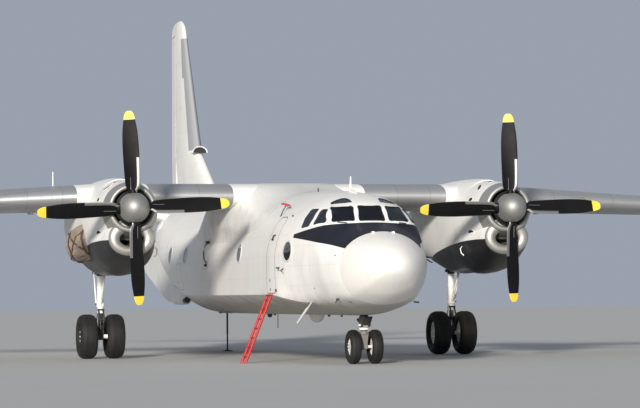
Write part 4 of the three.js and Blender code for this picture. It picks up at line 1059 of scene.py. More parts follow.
def split_surface(name, whole, ends, upright=False):
    """Takes the moving surface off a fixed one, which keeps a cove round the moving nose."""
    a, b = ends

    def along(out):
        t = (out - a[0]) / (b[0] - a[0])
        return [p + (q - p) * t for p, q in zip(a, b)]

    def zone(gap, forward):
        p, q = along(a[0] - gap), along(b[0] + gap)
        outline = [(p[0], p[1] - forward), (q[0], q[1] - forward), (q[0], q[1] + FAR), (p[0], p[1] + FAR)]
        if upright:
            return prism("zone", [(y, out) for out, y in outline], "X", -1.5, 1.5)
        return prism("zone", outline, "Z", *ALL_HEIGHTS)

    def cone(gap, grow):
        rows = (along(a[0] - gap), along(b[0] + gap))
        points = [(0, row[1], row[0]) if upright else tuple(row[:3]) for row in rows]
        return tube("cone", points, [row[3] + grow for row in rows], 48)

    moving = copy_of(whole, name)
    carve(moving, zone(0, 0), "INTERSECT")
    nose = cone(0, -0.004)
    carve(nose, zone(0, 1.0), "INTERSECT")
    carve(moving, nose, "UNION")
    carve(whole, zone(END_RUN, RUN / 2))
    carve(whole, cone(END_RUN, RUN - 0.002))
    return moving


def both_sides(piece, stem, finish, body="airframe"):
    """Dresses a port piece and its starboard twin, which stand for the nodes of that name."""
    twin = flip(copy_of(piece, f"{piece.name}_starboard"))
    piece.name = f"{piece.name}_port"
    for made, side in ((piece, "port"), (twin, "starboard")):
        carrier = body if body == "airframe" else f"{body}_{side}"
        dress(made, finish, carrier, (f"{stem}_{side}",))


# Fin and rudder.
# The fin is white with a bare de-icing strip on its leading edge and a long dorsal fillet; the
# rudder hangs on it by pin hinges and is skinned in thinner, wavier sheet.
FIN = [
    (3.45, 16.30, 6.70, 0.055, 0, 0, 0),
    (5.00, 19.36, 3.74, 0.100, 0, 0, 0),
    (8.25, 21.18, 1.92, 0.090, 0, 0, 0),
    (8.38, 21.28, 1.76, 0.087, 0, 0, 0),
    (8.48, 21.45, 1.50, 0.080, 0, 0, 0),
    (8.55, 21.63, 1.10, 0.070, 0, 0, 0),
    (8.575, 21.78, 0.80, 0.060, 0, 0, 0),
]
STRIP_STATION = 19.36
STRIP_Z = 5.0
STRIP_SLOPE = 0.56
STRIP_STEP_Z = 7.0
STRIP_METAL = (0.36, 0.365, 0.375, 1)
RUDDER_HINGE = [(3.9, at(21.90), 0, 0.14), (8.2, at(22.28), 0, 0.08)]


def fin_strip(colour, place, roughness):
    """Bare metal over the first part of the chord, from the dorsal fillet nearly to the tip."""
    axes = axes_of(place)
    lead = plus(at(STRIP_STATION), times(minus(axes["Z"], STRIP_Z), STRIP_SLOPE))
    # The strip has a step halfway up, and narrows towards the tip in both parts.
    lower = minus(0.885, times(axes["Z"], 0.0765))
    upper = minus(1.90, times(axes["Z"], 0.20))
    stepped = ramp(axes["Z"], STRIP_STEP_Z - 0.005, STRIP_STEP_Z + 0.005)
    wide = plus(lower, times(stepped, minus(upper, lower)))
    run = minus(minus(axes["Y"], lead), wide)
    strip = minus(1.0, ramp(run, -0.005, 0.005))
    strip = times(strip, ramp(axes["Z"], 5.05, 5.06))
    strip = times(strip, minus(1.0, ramp(axes["Z"], 8.05, 8.06)))
    colour = blend(strip, colour, STRIP_METAL)
    return colour, minus(roughness, times(strip, 0.02))


fin_paint = painted("fin_paint", WHITE, GRIME, 0.24, (90.0, 90.0, 0.62), extra=fin_strip)
tail_finish = painted("tail_finish", WHITE, GRIME, 0.24, (0.7, 90.0, 90.0))
fin = surface("fin_skin", FIN, upright=True)
rudder = split_surface("rudder_skin", fin, RUDDER_HINGE, upright=True)
carve(rudder, loft("hull_tool", hull_rings(stations_between(16.0, 23.75, 0.4), 0.001)))
dress(fin, fin_paint, stands_for=("fin",))
dress(rudder, fin_paint, "rudder", stands_for=("rudder",))


def paint_faces(piece, finish, test):
    """Gives the faces that pass the test a second finish."""
    piece.data.materials.append(finish)
    index = len(piece.data.materials) - 1
    for face in piece.data.polygons:
        if test(face):
            face.material_index = index


# A half-round air scoop with a white lip stands at the foot of the bare strip.
# Columns: station, half width, height. The last rings turn in to the mouth.
SCOOP = [(20.10, 0.06, 0.05), (19.60, 0.15, 0.13), (19.24, 0.195, 0.165), (19.20, 0.20, 0.170),
         (19.185, 0.19, 0.160), (19.21, 0.165, 0.135), (19.27, 0.160, 0.130)]
SCOOP_FOOT = 4.975
MOUTH_RING = 5
scoop_rings = []
for station, half, high in SCOOP:
    arch = [(half * math.cos(a), SCOOP_FOOT + high * math.sin(a)) for a in np.linspace(0, math.pi, 25)]
    base = [(half * k, SCOOP_FOOT) for k in np.linspace(-1, 1, 9)[1:-1]]
    scoop_rings.append([(x, at(station), z) for x, z in arch + base])


def in_mouth(face):
    x, y, z = face.center
    within = abs(x) < 0.168 and abs(z - SCOOP_FOOT) < 0.137 and y > at(19.2)
    return within and min(face.vertices) >= MOUTH_RING * len(scoop_rings[0])


# The scoop is closed; its mouth is painted near-black as the shade inside the intake.
scoop_mouth_shade = painted("scoop_mouth_shade", (0.02, 0.02, 0.022, 1), (0.05, 0.05, 0.05, 1), 0.3, seam_share=0)
scoop = dress(loft("fin_scoop", scoop_rings), tail_finish)
paint_faces(scoop, scoop_mouth_shade, in_mouth)

# Tailplane and elevators.
# Two tapered panels of riveted sheet set at nine degrees of dihedral. Each carries one elevator,
# which hangs on pin hinges along its rear edge.
TAIL_DIHEDRAL = math.tan(math.radians(9))
TAIL_Z = 3.29
ELEVATOR = (0.9, 4.75)
ELEVATOR_SHARE = 0.68


def tail_row(out, lead, chord, thick):
    return out, lead, chord, thick, TAIL_Z + (out - 0.3) * TAIL_DIHEDRAL, 0, 0


TAILPLANE = [
    tail_row(0.10, 19.70, 2.68, 0.11),
    tail_row(4.85, 20.90, 1.38, 0.10),
    tail_row(4.93, 20.98, 1.20, 0.095),
    tail_row(4.96, 21.05, 1.05, 0.09),
    tail_row(4.986, 21.25, 0.60, 0.08),
]
tailplane = surface("tailplane_skin", TAILPLANE)
elevator_hinge = [hinge_at(TAILPLANE, out, ELEVATOR_SHARE) for out in ELEVATOR]
elevator = split_surface("elevator_skin", tailplane, elevator_hinge)
both_sides(tailplane, "tailplane", tail_finish)
both_sides(elevator, "elevator", tail_finish, "elevator")

# Wing.
# A straight centre section over the fuselage, and outer panels that droop a little and carry
# double-slotted flaps and ailerons. The riveted skin is bare aluminium, dull and patched from panel
# to panel, and white over the fuselage and where the nacelles lap it.
WING_JOINT = 4.2
INCIDENCE = math.radians(2.5)
ANHEDRAL = math.tan(math.radians(2.2))
SWEEP = math.tan(math.radians(9.68))
WING_Z = 3.45
WING_LEAD = 7.9
ROOT_CHORD = 3.5
HALF_SPAN = 14.6
CAMBER = 0.015


def wing_row(out, chord, thick, lead=None):
    lead = WING_LEAD + (out - WING_JOINT) * SWEEP if lead is None else lead
    return out, lead, chord, thick, WING_Z - (out - WING_JOINT) * ANHEDRAL, CAMBER, INCIDENCE


OUTER_WING = [
    wing_row(WING_JOINT, ROOT_CHORD, 0.16),
    wing_row(14.30, 1.15, 0.13),
    wing_row(14.46, 0.98, 0.12, 9.655),
    wing_row(14.54, 0.82, 0.11, 9.70),
    wing_row(14.585, 0.60, 0.10, 9.80),
    wing_row(HALF_SPAN, 0.42, 0.09, 9.93),
]
CENTRE_WING = [(out, *wing_row(WING_JOINT, ROOT_CHORD, 0.16)[1:]) for out in (-WING_JOINT, 0.0, WING_JOINT)]
FLAP_SHARE = 0.7
FLAP_GAP = 0.008
INNER_FLAP = (1.53, 3.23)
OUTER_FLAP = (4.72, 9.45)
AILERON = (9.56, 14.15)
AILERON_SHARE = 0.74
PAD_PLACE = (5.6, 9.0)


def bare_metal(name, spacing, tint=(0.50, 0.505, 0.515, 1), shade=0.46, white_where=None):
    """Unpainted sheet, each panel in its own tone and dark at its seams; white_where is painted."""
    made, shader, place = new_material(name)
    joints = use_group(sheet_joints, {"Place": place, "Spacing": spacing, "Width": 0.007})
    stain = {"Grime": (0.25, 0.24, 0.22, 1), "Amount": 0.35, "Patch": 0.8, "Gloss": shade}
    worn = use_group(weathering, {"Place": place, "Clean": tint, **stain})
    tone = times(joints["Sheet"], 0.34)
    colour = blend(tone, worn["Color"], (0.40, 0.405, 0.41, 1))
    marks = maths("MAXIMUM", joints["Seam"], times(joints["Rivet"], 0.55))
    colour = blend(times(marks, 0.5), colour, (0.2, 0.2, 0.2, 1))
    roughness = plus(worn["Roughness"], times(joints["Sheet"], 0.14), clamp=True)
    metallic = 0.75
    if white_where is not None:
        white = white_where(place)
        colour = blend(white, colour, WHITE)
        metallic = times(minus(1.0, white), metallic)
    depth = minus(noise(place, 2.2, 3.0), times(marks, 0.4))
    wire(shader, colour, roughness, (depth, 0.4, 0.005), Metallic=metallic)
    return made


def white_roots(place):
    """The wing is painted white over the fuselage, and where the nacelles' fairings lap it."""
    out = maths("ABSOLUTE", axes_of(place)["X"])
    middle = minus(1.0, ramp(out, 1.43, 1.436))
    lap = times(ramp(out, 3.23, 3.236), minus(1.0, ramp(out, 4.74, 4.746)))
    return maths("MAXIMUM", middle, lap)


wing_metal = bare_metal("wing_metal", (0.72, 0.9, 90.0), white_where=white_roots)
centre_wing = surface("centre_wing", CENTRE_WING)


def flap_zone(rows, span, gap):
    front = [hinge_at(rows, out, FLAP_SHARE)[1] for out in span]
    a, b = span[0] - gap, span[1] + gap
    outline = [(a, front[0] - gap), (b, front[1] - gap), (b, at(14.0)), (a, at(14.0))]
    return prism("flap_zone", outline, "Z", *ALL_HEIGHTS)


def take_flap(name, whole, rows, span):
    """A retracted flap: the wing's own trailing part between two ribs. The narrow slot round it is cut from
    the wing by the caller.
    """
    flap = copy_of(whole, name)
    carve(flap, flap_zone(rows, span, 0.0), "INTERSECT")
    return flap


inner_flap = take_flap("inner_flap_skin", centre_wing, CENTRE_WING, INNER_FLAP)
carve(centre_wing, flap_zone(CENTRE_WING, INNER_FLAP, FLAP_GAP))
carve(centre_wing, flip(flap_zone(CENTRE_WING, INNER_FLAP, FLAP_GAP)))
dress(centre_wing, wing_metal, stands_for=("wing_centre",))
both_sides(inner_flap, "inner_flap", wing_metal)

outer_wing = surface("outer_wing", OUTER_WING)
outer_flap = take_flap("outer_flap_skin", outer_wing, OUTER_WING, OUTER_FLAP)
aileron_hinge = [hinge_at(OUTER_WING, out, AILERON_SHARE) for out in AILERON]
aileron = split_surface("aileron_skin", outer_wing, aileron_hinge)
carve(outer_wing, flap_zone(OUTER_WING, OUTER_FLAP, FLAP_GAP))
both_sides(outer_wing, "outer_wing", wing_metal)
both_sides(outer_flap, "outer_flap", wing_metal)
both_sides(aileron, "aileron", wing_metal, "aileron")

# The jacking pads are turned steel bosses under the outer wings.
for side, sign in SIDES.items():
    x, y = sign * PAD_PLACE[0], at(PAD_PLACE[1])
    pad = tube(f"jack_pad_{side}", [(x, y, 3.085), (x, y, 3.09), (x, y, 3.2)], [0.055, 0.06, 0.06], 28)
    dress(pad, plated_steel)

# Nacelles.
# Each engine hangs under the wing in a long pod of riveted sheet that narrows behind the wheel bay.
# Its top and sides are painted white; the belly is black, where soot and oil would show.
ENGINE_X = 3.95
ENGINE_Z = 3.112
# Columns: station, half width, height of the widest point, top, bottom.
COWL = [
    (5.72, 0.465, 3.112, 3.577, 2.650),
    (5.78, 0.490, 3.112, 3.600, 2.620),
    (6.30, 0.600, 3.050, 3.680, 2.430),
    (7.20, 0.670, 2.850, 3.750, 1.960),
]
COOLER = [
    (5.80, 0.415, 2.520, 2.845, 2.215),
    (5.86, 0.460, 2.520, 2.890, 2.172),
    (6.35, 0.550, 2.480, 2.900, 1.950),
    (6.75, 0.615, 2.460, 2.950, 1.830),
    (7.20, 0.655, 2.500, 2.950, 1.780),
]
COWL_BORE = (0.39, 0.39)
COOLER_BORE = (0.24, 0.145)
COOLER_Z = 2.49
NACELLE = [
    (7.20, 0.665, 2.800, 3.765, 1.779),
    (7.60, 0.680, 2.800, 3.800, 1.765),
    (8.20, 0.690, 2.800, 3.825, 1.800),
    (9.00, 0.690, 2.800, 3.835, 1.785),
    (9.50, 0.688, 2.810, 3.835, 1.830),
    (9.90, 0.680, 2.830, 3.830, 1.900),
    (10.90, 0.650, 2.900, 3.785, 2.110),
    (11.70, 0.560, 2.960, 3.660, 2.310),
    (12.50, 0.400, 3.000, 3.430, 2.510),
    (13.10, 0.190, 3.020, 3.190, 2.810),
]
POD_SIDES = 64
EXHAUST_FROM = Vector((0.42, at(7.90), 2.53))
EXHAUST_TO = Vector((0.737, at(8.395), 2.405))
EXHAUST_RADIUS = 0.25
EXHAUST_ALONG = (EXHAUST_TO - EXHAUST_FROM).normalized()
JET_Z = 3.01
BLACK = (0.008, 0.008, 0.009, 1)
BLACK_Z = 2.475
BLACK_FALL_FROM = 6.3
COWL_START = 5.72
COWL_END = 7.2
COOLER_START = 5.80
POD_END = 13.1


def pod_ring(row):
    """A ring of a nacelle about its own centreline; the lower half is a little squarer."""
    station, wide, mid, top, bottom = row
    ring = []
    for a in circle(POD_SIDES):
        c, s = math.cos(a), math.sin(a)
        if s < 0:
            x = wide * math.copysign(abs(c) ** 0.9, c)
            ring.append((x, at(station), mid - abs(s) ** 0.95 * (mid - bottom)))
        else:
            ring.append((wide * c, at(station), mid + s * (top - mid)))
    return ring


def pod_rings(rows, start, end):
    stations = stations_between(start, end, 0.1)
    return [pod_ring(row) for row in np.column_stack([stations, smooth_rows(rows, stations)])]


def bore_ring(station, bore, z):
    """A ring of an oval bore, whose half width and half height are given."""
    return [(bore[0] * math.cos(a), at(station), z + bore[1] * math.sin(a)) for a in circle(POD_SIDES)]


def lipped_duct(name, rows, start, bore, bore_end, bore_z, lip):
    """A pod's front with a rounded lip that turns into an oval bore; its back end stays open."""
    outer = np.array(pod_rings(rows, start + lip, COWL_END)[::-1])
    inner = np.array(bore_ring(start + lip, bore, bore_z))
    nose = []
    for k in range(1, 9):
        a = math.pi * k / 9
        mixed = outer[-1] * (1 + math.cos(a)) / 2 + inner * (1 - math.cos(a)) / 2
        mixed[:, 1] = at(start + lip - lip * math.sin(a))
        nose.append(mixed)
    back = [bore_ring(s, bore, bore_z) for s in np.linspace(start + lip, bore_end, 8)]
    return loft(name, np.concatenate([outer, nose, back]), caps=False)


def sooty_belly(colour, place, roughness):
    """Black below a line that falls aft, and black round the oil cooler's intake."""
    axes = axes_of(place)
    aft = maths("MAXIMUM", minus(axes["Y"], at(BLACK_FALL_FROM)), 0.0)
    fall = times(aft, plus(0.0304, times(aft, 0.017)))
    under = minus(1.0, ramp(minus(axes["Z"], minus(BLACK_Z, fall)), -PAINT_EDGE, PAINT_EDGE))
    colour = blend(under, colour, BLACK)
    oil = times(under, times(noise(place, 5.0, 5.0), 0.2))
    return colour, minus(plus(roughness, times(under, 0.08)), oil)


OILY = (0.36, 0.33, 0.29, 1)
nacelle_paint = painted("nacelle_paint", WHITE, OILY, 0.2, (90.0, 0.62, 90.0), extra=sooty_belly)
duct_metal = bare_metal("duct_metal", (90.0, 90.0, 90.0), (0.50, 0.49, 0.46, 1), 0.46)
# Near-black for bores, openings and the engine: painted shade deep inside the nacelle, and soot in the jet
# pipe.
SHADE_AND_SOOT = (0.012, 0.012, 0.012, 1)
shade_and_soot = mottled("shade_and_soot", SHADE_AND_SOOT, (0.04, 0.038, 0.036, 1), 8.0, 4.0, (0.5, 0.3))


def on_nacelle(piece, side):
    """Moves a piece made about the nacelle's own centreline to its side, outboard outwards."""
    if side == "starboard":
        flip(piece)
    piece.data.transform(Matrix.Translation((SIDES[side] * ENGINE_X, 0, 0)))
    return piece


for side in SIDES:
    pod = loft(f"pod_{side}", pod_rings(NACELLE, COWL_END, POD_END))
    if side == "starboard":
        # A small jet engine in the tail of this pod starts the others; its pipe shows.
        outlet = [(0, at(12.3), JET_Z), (0, at(13.24), JET_Z), (0, at(13.25), JET_Z)]
        carve(pod, tube("outlet", outlet, [0.19, 0.19, 0.186], 40), "UNION")
        carve(pod, tube("pipe", [(0, at(12.9), JET_Z), (0, at(13.4), JET_Z)], 0.16, 40))
    dress(on_nacelle(pod, side), nacelle_paint, stands_for=(f"nacelle_{side}",))
    # The jet pipe's end face is near-black: soot, and painted shade inside the pipe.
    paint_faces(pod, shade_and_soot, lambda face: side == "starboard" and face.center.y > at(12.85)
                and face.normal.y > 0.9)

    # The exhaust leaves low on the outboard flank through a short heat-stained steel pipe.
    rim = EXHAUST_TO - EXHAUST_ALONG * 0.01
    line = [EXHAUST_FROM, rim, EXHAUST_TO, rim, EXHAUST_FROM + EXHAUST_ALONG * 0.3]
    pipe = tube(f"exhaust_{side}", line, [EXHAUST_RADIUS, EXHAUST_RADIUS, 0.24, 0.228, 0.226], 40)
    dress(on_nacelle(pipe, side), duct_metal)

    # The cowl is made of latched panels. Its round mouth has a bare metal lip, and below it the oil
    # cooler breathes through a flat oval mouth with a lip of its own.
    cowl = lipped_duct(f"cowl_skin_{side}", COWL, COWL_START, COWL_BORE, 6.5, ENGINE_Z, 0.06)
    dress(on_nacelle(cowl, side), nacelle_paint, stands_for=(f"cowl_{side}",))
    chin = lipped_duct(f"cooler_duct_{side}", COOLER, COOLER_START, COOLER_BORE, 6.4, COOLER_Z, 0.09)
    dress(on_nacelle(chin, side), nacelle_paint)
    # Columns: piece, where its bare lip ends, the bore's half width and height, its Z, where it starts.
    for piece, lip_end, bore, z, bore_start in ((cowl, 6.04, (0.397, 0.397), ENGINE_Z, 5.79),
                                                (chin, 5.895, COOLER_BORE, COOLER_Z, 5.90)):

        def in_bore(face):
            away = math.hypot((abs(face.center.x) - ENGINE_X) / bore[0], (face.center.z - z) / bore[1])
            return away < 1.01 and face.center.y > at(bore_start)

        paint_faces(piece, duct_metal, lambda face: face.center.y < at(lip_end))
        # The bore is painted near-black, as the shade deep inside it.
        paint_faces(piece, shade_and_soot, in_bore)
    # The cooler's core is a near-black disc: its own dark matrix, painted with the shade deep in its duct.
    core = loft(f"cooler_core_{side}", [bore_ring(s, COOLER_BORE, COOLER_Z) for s in (6.36, 6.40)])
    dress(on_nacelle(core, side), shade_and_soot)
    # The engine inside the cowl is near-black too, painted shade within the nacelle.
    finish_nodes(shade_and_soot, f"engine_{side}")

# Cooling slots.
# Oval slots with white-painted rims are pressed into each cowl's sheet; each opening is a near-black plate,
# painted shade for the dark engine bay behind it. A bent steel grab handle is bolted low on the cowl's
# inboard side.
# Columns: way out from the centreline, height, length, width, and turn from level in degrees.
SLOTS = [
    (0.409, 3.601, 0.34, 0.09, 28), (0.215, 3.646, 0.20, 0.09, 0), (0.629, 3.35, 0.24, 0.08, 0),
    (-0.386, 3.617, 0.34, 0.09, -28), (-0.643, 3.37, 0.24, 0.08, 0), (-0.124, 3.661, 0.20, 0.09, 0),
    (0.60, 2.60, 0.22, 0.11, 0), (-0.60, 2.60, 0.22, 0.11, 0),
]
SLOT_STATION = 6.6
RIM_WIDE = 0.03
HANDLE_LINE = [(-0.655, 6.95, 2.34), (-0.700, 6.93, 2.30), (-0.690, 6.90, 2.20), (-0.640, 6.88, 2.15)]


def slot_disc(name, ball, aim, axis, long, wide, turn, lift, finish):
    """An oval plate laid on the cowl where a line from outside meets it."""
    out = Vector((aim[0] - axis[0], 0, aim[1] - axis[1])).normalized()
    origin = Vector((axis[0], at(SLOT_STATION), axis[1])) + out * 2
    spot, normal = ball.ray_cast(origin, -out)[:2]
    along = (Vector((0, 1, 0)) - normal * normal.y).normalized()
    across = normal.cross(along)
    c, s = math.cos(math.radians(turn)), math.sin(math.radians(turn))
    rings = []
    for share, up in ((1.0, -0.01), (1.0, lift), (0.92, lift + 0.001)):
        flat = [(long / 2 * share * math.cos(a), wide / 2 * share * math.sin(a)) for a in circle(28)]
        rings.append([tuple(spot + along * (u * c - v * s) + across * (u * s + v * c) + normal * up)
                      for u, v in flat])
    dress(loft(name, rings), finish)


slot_rim = painted("slot_rim", (0.90, 0.885, 0.86, 1), GRIME, 0.1, seam_share=0)
for side, sign in SIDES.items():
    cowl = bpy.data.objects[f"cowl_skin_{side}"]
    ball = BVHTree.FromObject(cowl, bpy.context.evaluated_depsgraph_get())
    axis = (sign * ENGINE_X, 3.0)
    for k, (out, z, long, wide, turn) in enumerate(SLOTS):
        aim = (axis[0] + sign * out, z)
        rim = (long + RIM_WIDE, wide + RIM_WIDE)
        slot_disc(f"slot_rim_{side}_{k}", ball, aim, axis, *rim, turn, 0.003, slot_rim)
        # The slot is a near-black oval plate: painted shade for the opening.
        slot_disc(f"slot_{side}_{k}", ball, aim, axis, long, wide, turn, 0.005, shade_and_soot)
    handle = tube(f"grab_handle_{side}", [(x, at(s), z) for x, s, z in HANDLE_LINE], 0.012, 12)
    dress(on_nacelle(handle, side), slot_rim, smooth=60)

# Canvas exhaust covers.
# A brown proofed canvas hood is pulled over each exhaust and drawn tight with a cord in its hem and
# two webbing straps round it, and two more cross over its front. The cloth bellies and creases.
CLOTH_COLOUR = (0.225, 0.175, 0.14, 1)
canvas, shader, place = new_material("brown_canvas")
weft = node("TexWave", {"Vector": place, "Scale": 130.0}, bands_direction="X").outputs["Fac"]
warp = node("TexWave", {"Vector": place, "Scale": 130.0}, bands_direction="Z").outputs["Fac"]
weave = times(plus(weft, warp), 0.5)
cloth = blend(ramp(noise(place, 3.5, 5.0), 0.35, 0.7), CLOTH_COLOUR, (0.31, 0.25, 0.205, 1))
# The cloth is darker towards the bottom of the hood.
darker_below = minus(1.0, ramp(axes_of(place)["Z"], 2.12, 2.32))
cloth = blend(times(darker_below, 0.75), cloth, (0.05, 0.036, 0.026, 1))
wrinkle = plus(noise(place, 9.0, 4.0), times(weave, 0.06))
cloth = blend(times(weave, 0.25), cloth, (0.13, 0.09, 0.06, 1))
wire(shader, cloth, 0.92, (wrinkle, 0.8, 0.02), Sheen_Weight=0.2)
webbing, shader, place = new_material("webbing")
ribs = node("TexWave", {"Vector": place, "Scale": 90.0}, bands_direction="DIAGONAL").outputs["Fac"]
wire(shader, blend(ribs, (0.045, 0.03, 0.022, 1), (0.075, 0.05, 0.035, 1)), 0.85)

# Columns: way out along the pipe, radius.
COVER = [(-0.15, 0.272), (-0.05, 0.310), (0.06, 0.345), (0.20, 0.360), (0.33, 0.358), (0.45, 0.345),
         (0.56, 0.310), (0.62, 0.225), (0.645, 0.10)]
COVER_SIDES = 96
HEM_OUT = -0.13
STRAPS = (0.02, 0.44)
STRAP_HALF = 0.025
CROSS_TURN = 0.95
CROSS_HALF = 0.07
cover_across = EXHAUST_ALONG.cross(Vector((0, 0, 1))).normalized()
cover_up = cover_across.cross(EXHAUST_ALONG)


def cover_point(out, turn, grow):
    """A point of the hood: it bellies between its straps, and folds run along it."""
    radius = float(smooth_rows(COVER, [out])[0][0])
    pinch = sum(math.exp(-(((out - strap) / 0.05) ** 2)) for strap in STRAPS)
    folds = 0.012 * math.sin(7 * turn + 3 * out) + 0.008 * math.sin(13 * turn - 9 * out)
    folds += 0.006 * math.sin(23 * turn + 5 * out)
    sag = 0.02 * max(0.0, -math.sin(turn))
    radius += folds * (1 - 0.6 * min(1.0, pinch)) * min(1.0, radius / 0.3) - 0.022 * pinch + sag + grow
    return (EXHAUST_FROM + EXHAUST_ALONG * (out + 0.06) + cover_across * radius * math.cos(turn)
            + cover_up * radius * 1.08 * math.sin(turn))


def hood_ring(out, grow=0.0):
    return [tuple(cover_point(out, a, grow)) for a in circle(COVER_SIDES)]


for side in SIDES:
    rings = [hood_ring(out) for out in np.linspace(HEM_OUT, COVER[-1][0], 40)]
    vertices = [p for ring in rings for p in ring]
    faces = ring_faces(len(rings), COVER_SIDES, caps=False)
    tip = len(vertices)
    last = tip - COVER_SIDES
    faces += [(last + i, last + (i + 1) % COVER_SIDES, tip) for i in range(COVER_SIDES)]
    vertices.append(tuple(EXHAUST_FROM + EXHAUST_ALONG * 0.712))
    hood = make_piece(f"canvas_hood_{side}", vertices, faces)
    stands_for = (f"exhaust_cover_{side}",)
    dress(on_nacelle(hood, side), canvas, stands_for=stands_for, smooth=80)
    bands = []
    for strap in STRAPS:
        edges = ((-1, -0.002), (-1, 0.004), (1, 0.004), (1, -0.002))
        bands.append(loft("band", [hood_ring(strap + way * STRAP_HALF, lift) for way, lift in edges], True))
    for start in (-CROSS_TURN, CROSS_TURN):
        edges = ((-1, -0.002), (-1, 0.005), (1, 0.005), (1, -0.002))
        path = zip(np.linspace(-0.10, 0.56, 30), np.linspace(start, -start, 30))
        bands.append(loft("band", [[tuple(cover_point(out, turn + way * CROSS_HALF, lift))
                                    for way, lift in edges] for out, turn in path]))
    hem = [cover_point(HEM_OUT, a, 0.002) for a in circle(48)]
    bands.append(tube("hem", hem, 0.007, 8, closed=True))
    straps = join(f"hood_straps_{side}", bands)
    dress(on_nacelle(straps, side), webbing, smooth=80)

# Propellers.
# Four solid alloy blades, black with yellow tips and bare anti-ice strips on their leading edges,
# turn in a hub behind a spun aluminium spinner. Both propellers turn the same way.
PROP_STATION = 5.55
STOPPED = {"port": -1.3, "starboard": -2.9}
# Columns: radius, chord, pitch from the plane of the disc in degrees, thickness as a share of chord.
BLADE = [
    (0.25, 0.180, 52, 0.60),
    (0.33, 0.195, 47, 0.50),
    (0.43, 0.335, 40, 0.24),
    (0.76, 0.350, 34, 0.15),
    (1.15, 0.345, 27, 0.10),
    (1.50, 0.315, 23, 0.075),
    (1.74, 0.250, 21, 0.065),
    (1.88, 0.190, 20, 0.06),
    (1.93, 0.130, 20, 0.06),
    (1.95, 0.085, 20, 0.06),
]
# Blade section: share of the chord, share of the thickness; the leading edge is at -0.5.
BLADE_FACE = [(-0.5, 0.0), (-0.47, 0.17), (-0.40, 0.31), (-0.33, 0.39), (-0.12, 0.50), (0.08, 0.48),
              (0.28, 0.34), (0.42, 0.17), (0.5, 0.04), (0.5, -0.04), (0.42, -0.12), (0.28, -0.24),
              (0.08, -0.37), (-0.12, -0.42), (-0.33, -0.33), (-0.40, -0.25), (-0.47, -0.13)]
STRIP_COLUMNS = (0, 1, 2, 14, 15, 16)
STRIP_END = 1.003
YELLOW_FROM = 1.775
SPINNER_RADIUS = 0.31
SPINNER_LONG = 0.40
BACK_PLATE = [(0.05, 0.064), (0.345, 0.064), (0.362, 0.072), (0.362, 0.112), (0.345, 0.12), (0.05, 0.12)]
QUARTERS = [Matrix.Rotation(k * math.pi / 2, 4, "Y") for k in range(4)]

blade_black, shader, place = new_material("blade_black")
sheen = noise(place, 3.0, 4.0)
dark = blend(sheen, (0.003, 0.003, 0.0035, 1), (0.008, 0.008, 0.009, 1))
chipped = blend(ramp(noise(place, 30.0, 5.0, 0.7), 0.68, 0.76), dark, (0.1, 0.1, 0.1, 1))
wire(shader, chipped, plus(0.40, times(sheen, 0.25)), Specular_IOR_Level=0.16)
YELLOW = (0.88, 0.62, 0.06, 1)
tip_yellow = mottled("tip_yellow", YELLOW, (0.62, 0.42, 0.06, 1), 24.0, 5.0, (0.45, 0.0),
                     (0.55, 0.72), 0.7)
edge_metal, shader, place = new_material("edge_metal")
drawn_out = node("VectorMath", {0: place, 1: (60, 60, 4)}, operation="MULTIPLY").outputs[0]
brushed = noise(drawn_out, 3.0, 3.0)
tone = blend(brushed, (0.30, 0.30, 0.295, 1), (0.19, 0.19, 0.185, 1))
wire(shader, tone, plus(0.34, times(brushed, 0.2)), Metallic=0.7)

spun_metal, shader, place = new_material("spun_metal")
rings = noise(node("CombineXYZ", {"Y": axes_of(place)["Y"]}).outputs[0], 90.0, 3.0, 0.5)
smudge = noise(place, 5.0, 4.0)
tone = blend(smudge, (0.45, 0.445, 0.43, 1), (0.32, 0.315, 0.30, 1))
wire(shader, tone, plus(0.46, times(plus(rings, smudge), 0.14)), Metallic=0.85)


def blade_rings(radii):
    rings = []
    for radius, (chord, pitch, thick) in zip(radii, smooth_rows(BLADE, radii)):
        c, s = math.cos(math.radians(pitch)), math.sin(math.radians(pitch))
        ring = []
        for u, v in BLADE_FACE:
            a, b = -u * chord, v * chord * thick
            ring.append((a * c - b * s, -a * s - b * c, radius))
        rings.append(ring)
    return rings


def turned_about_y(name, profile, wrap=False):
    """A ring turned about the shaft from (radius, y) points."""
    rings = [[(r * math.cos(a), y, r * math.sin(a)) for a in circle(64)] for r, y in profile]
    return loft(name, rings, wrap)


def on_strip(face):
    """The strip covers the nose of the section on both faces, from the root to mid blade."""
    sleeve = face.index < (len(blade_radii) - 1) * len(BLADE_FACE)
    return sleeve and face.center.z < STRIP_END and face.index % len(BLADE_FACE) in STRIP_COLUMNS


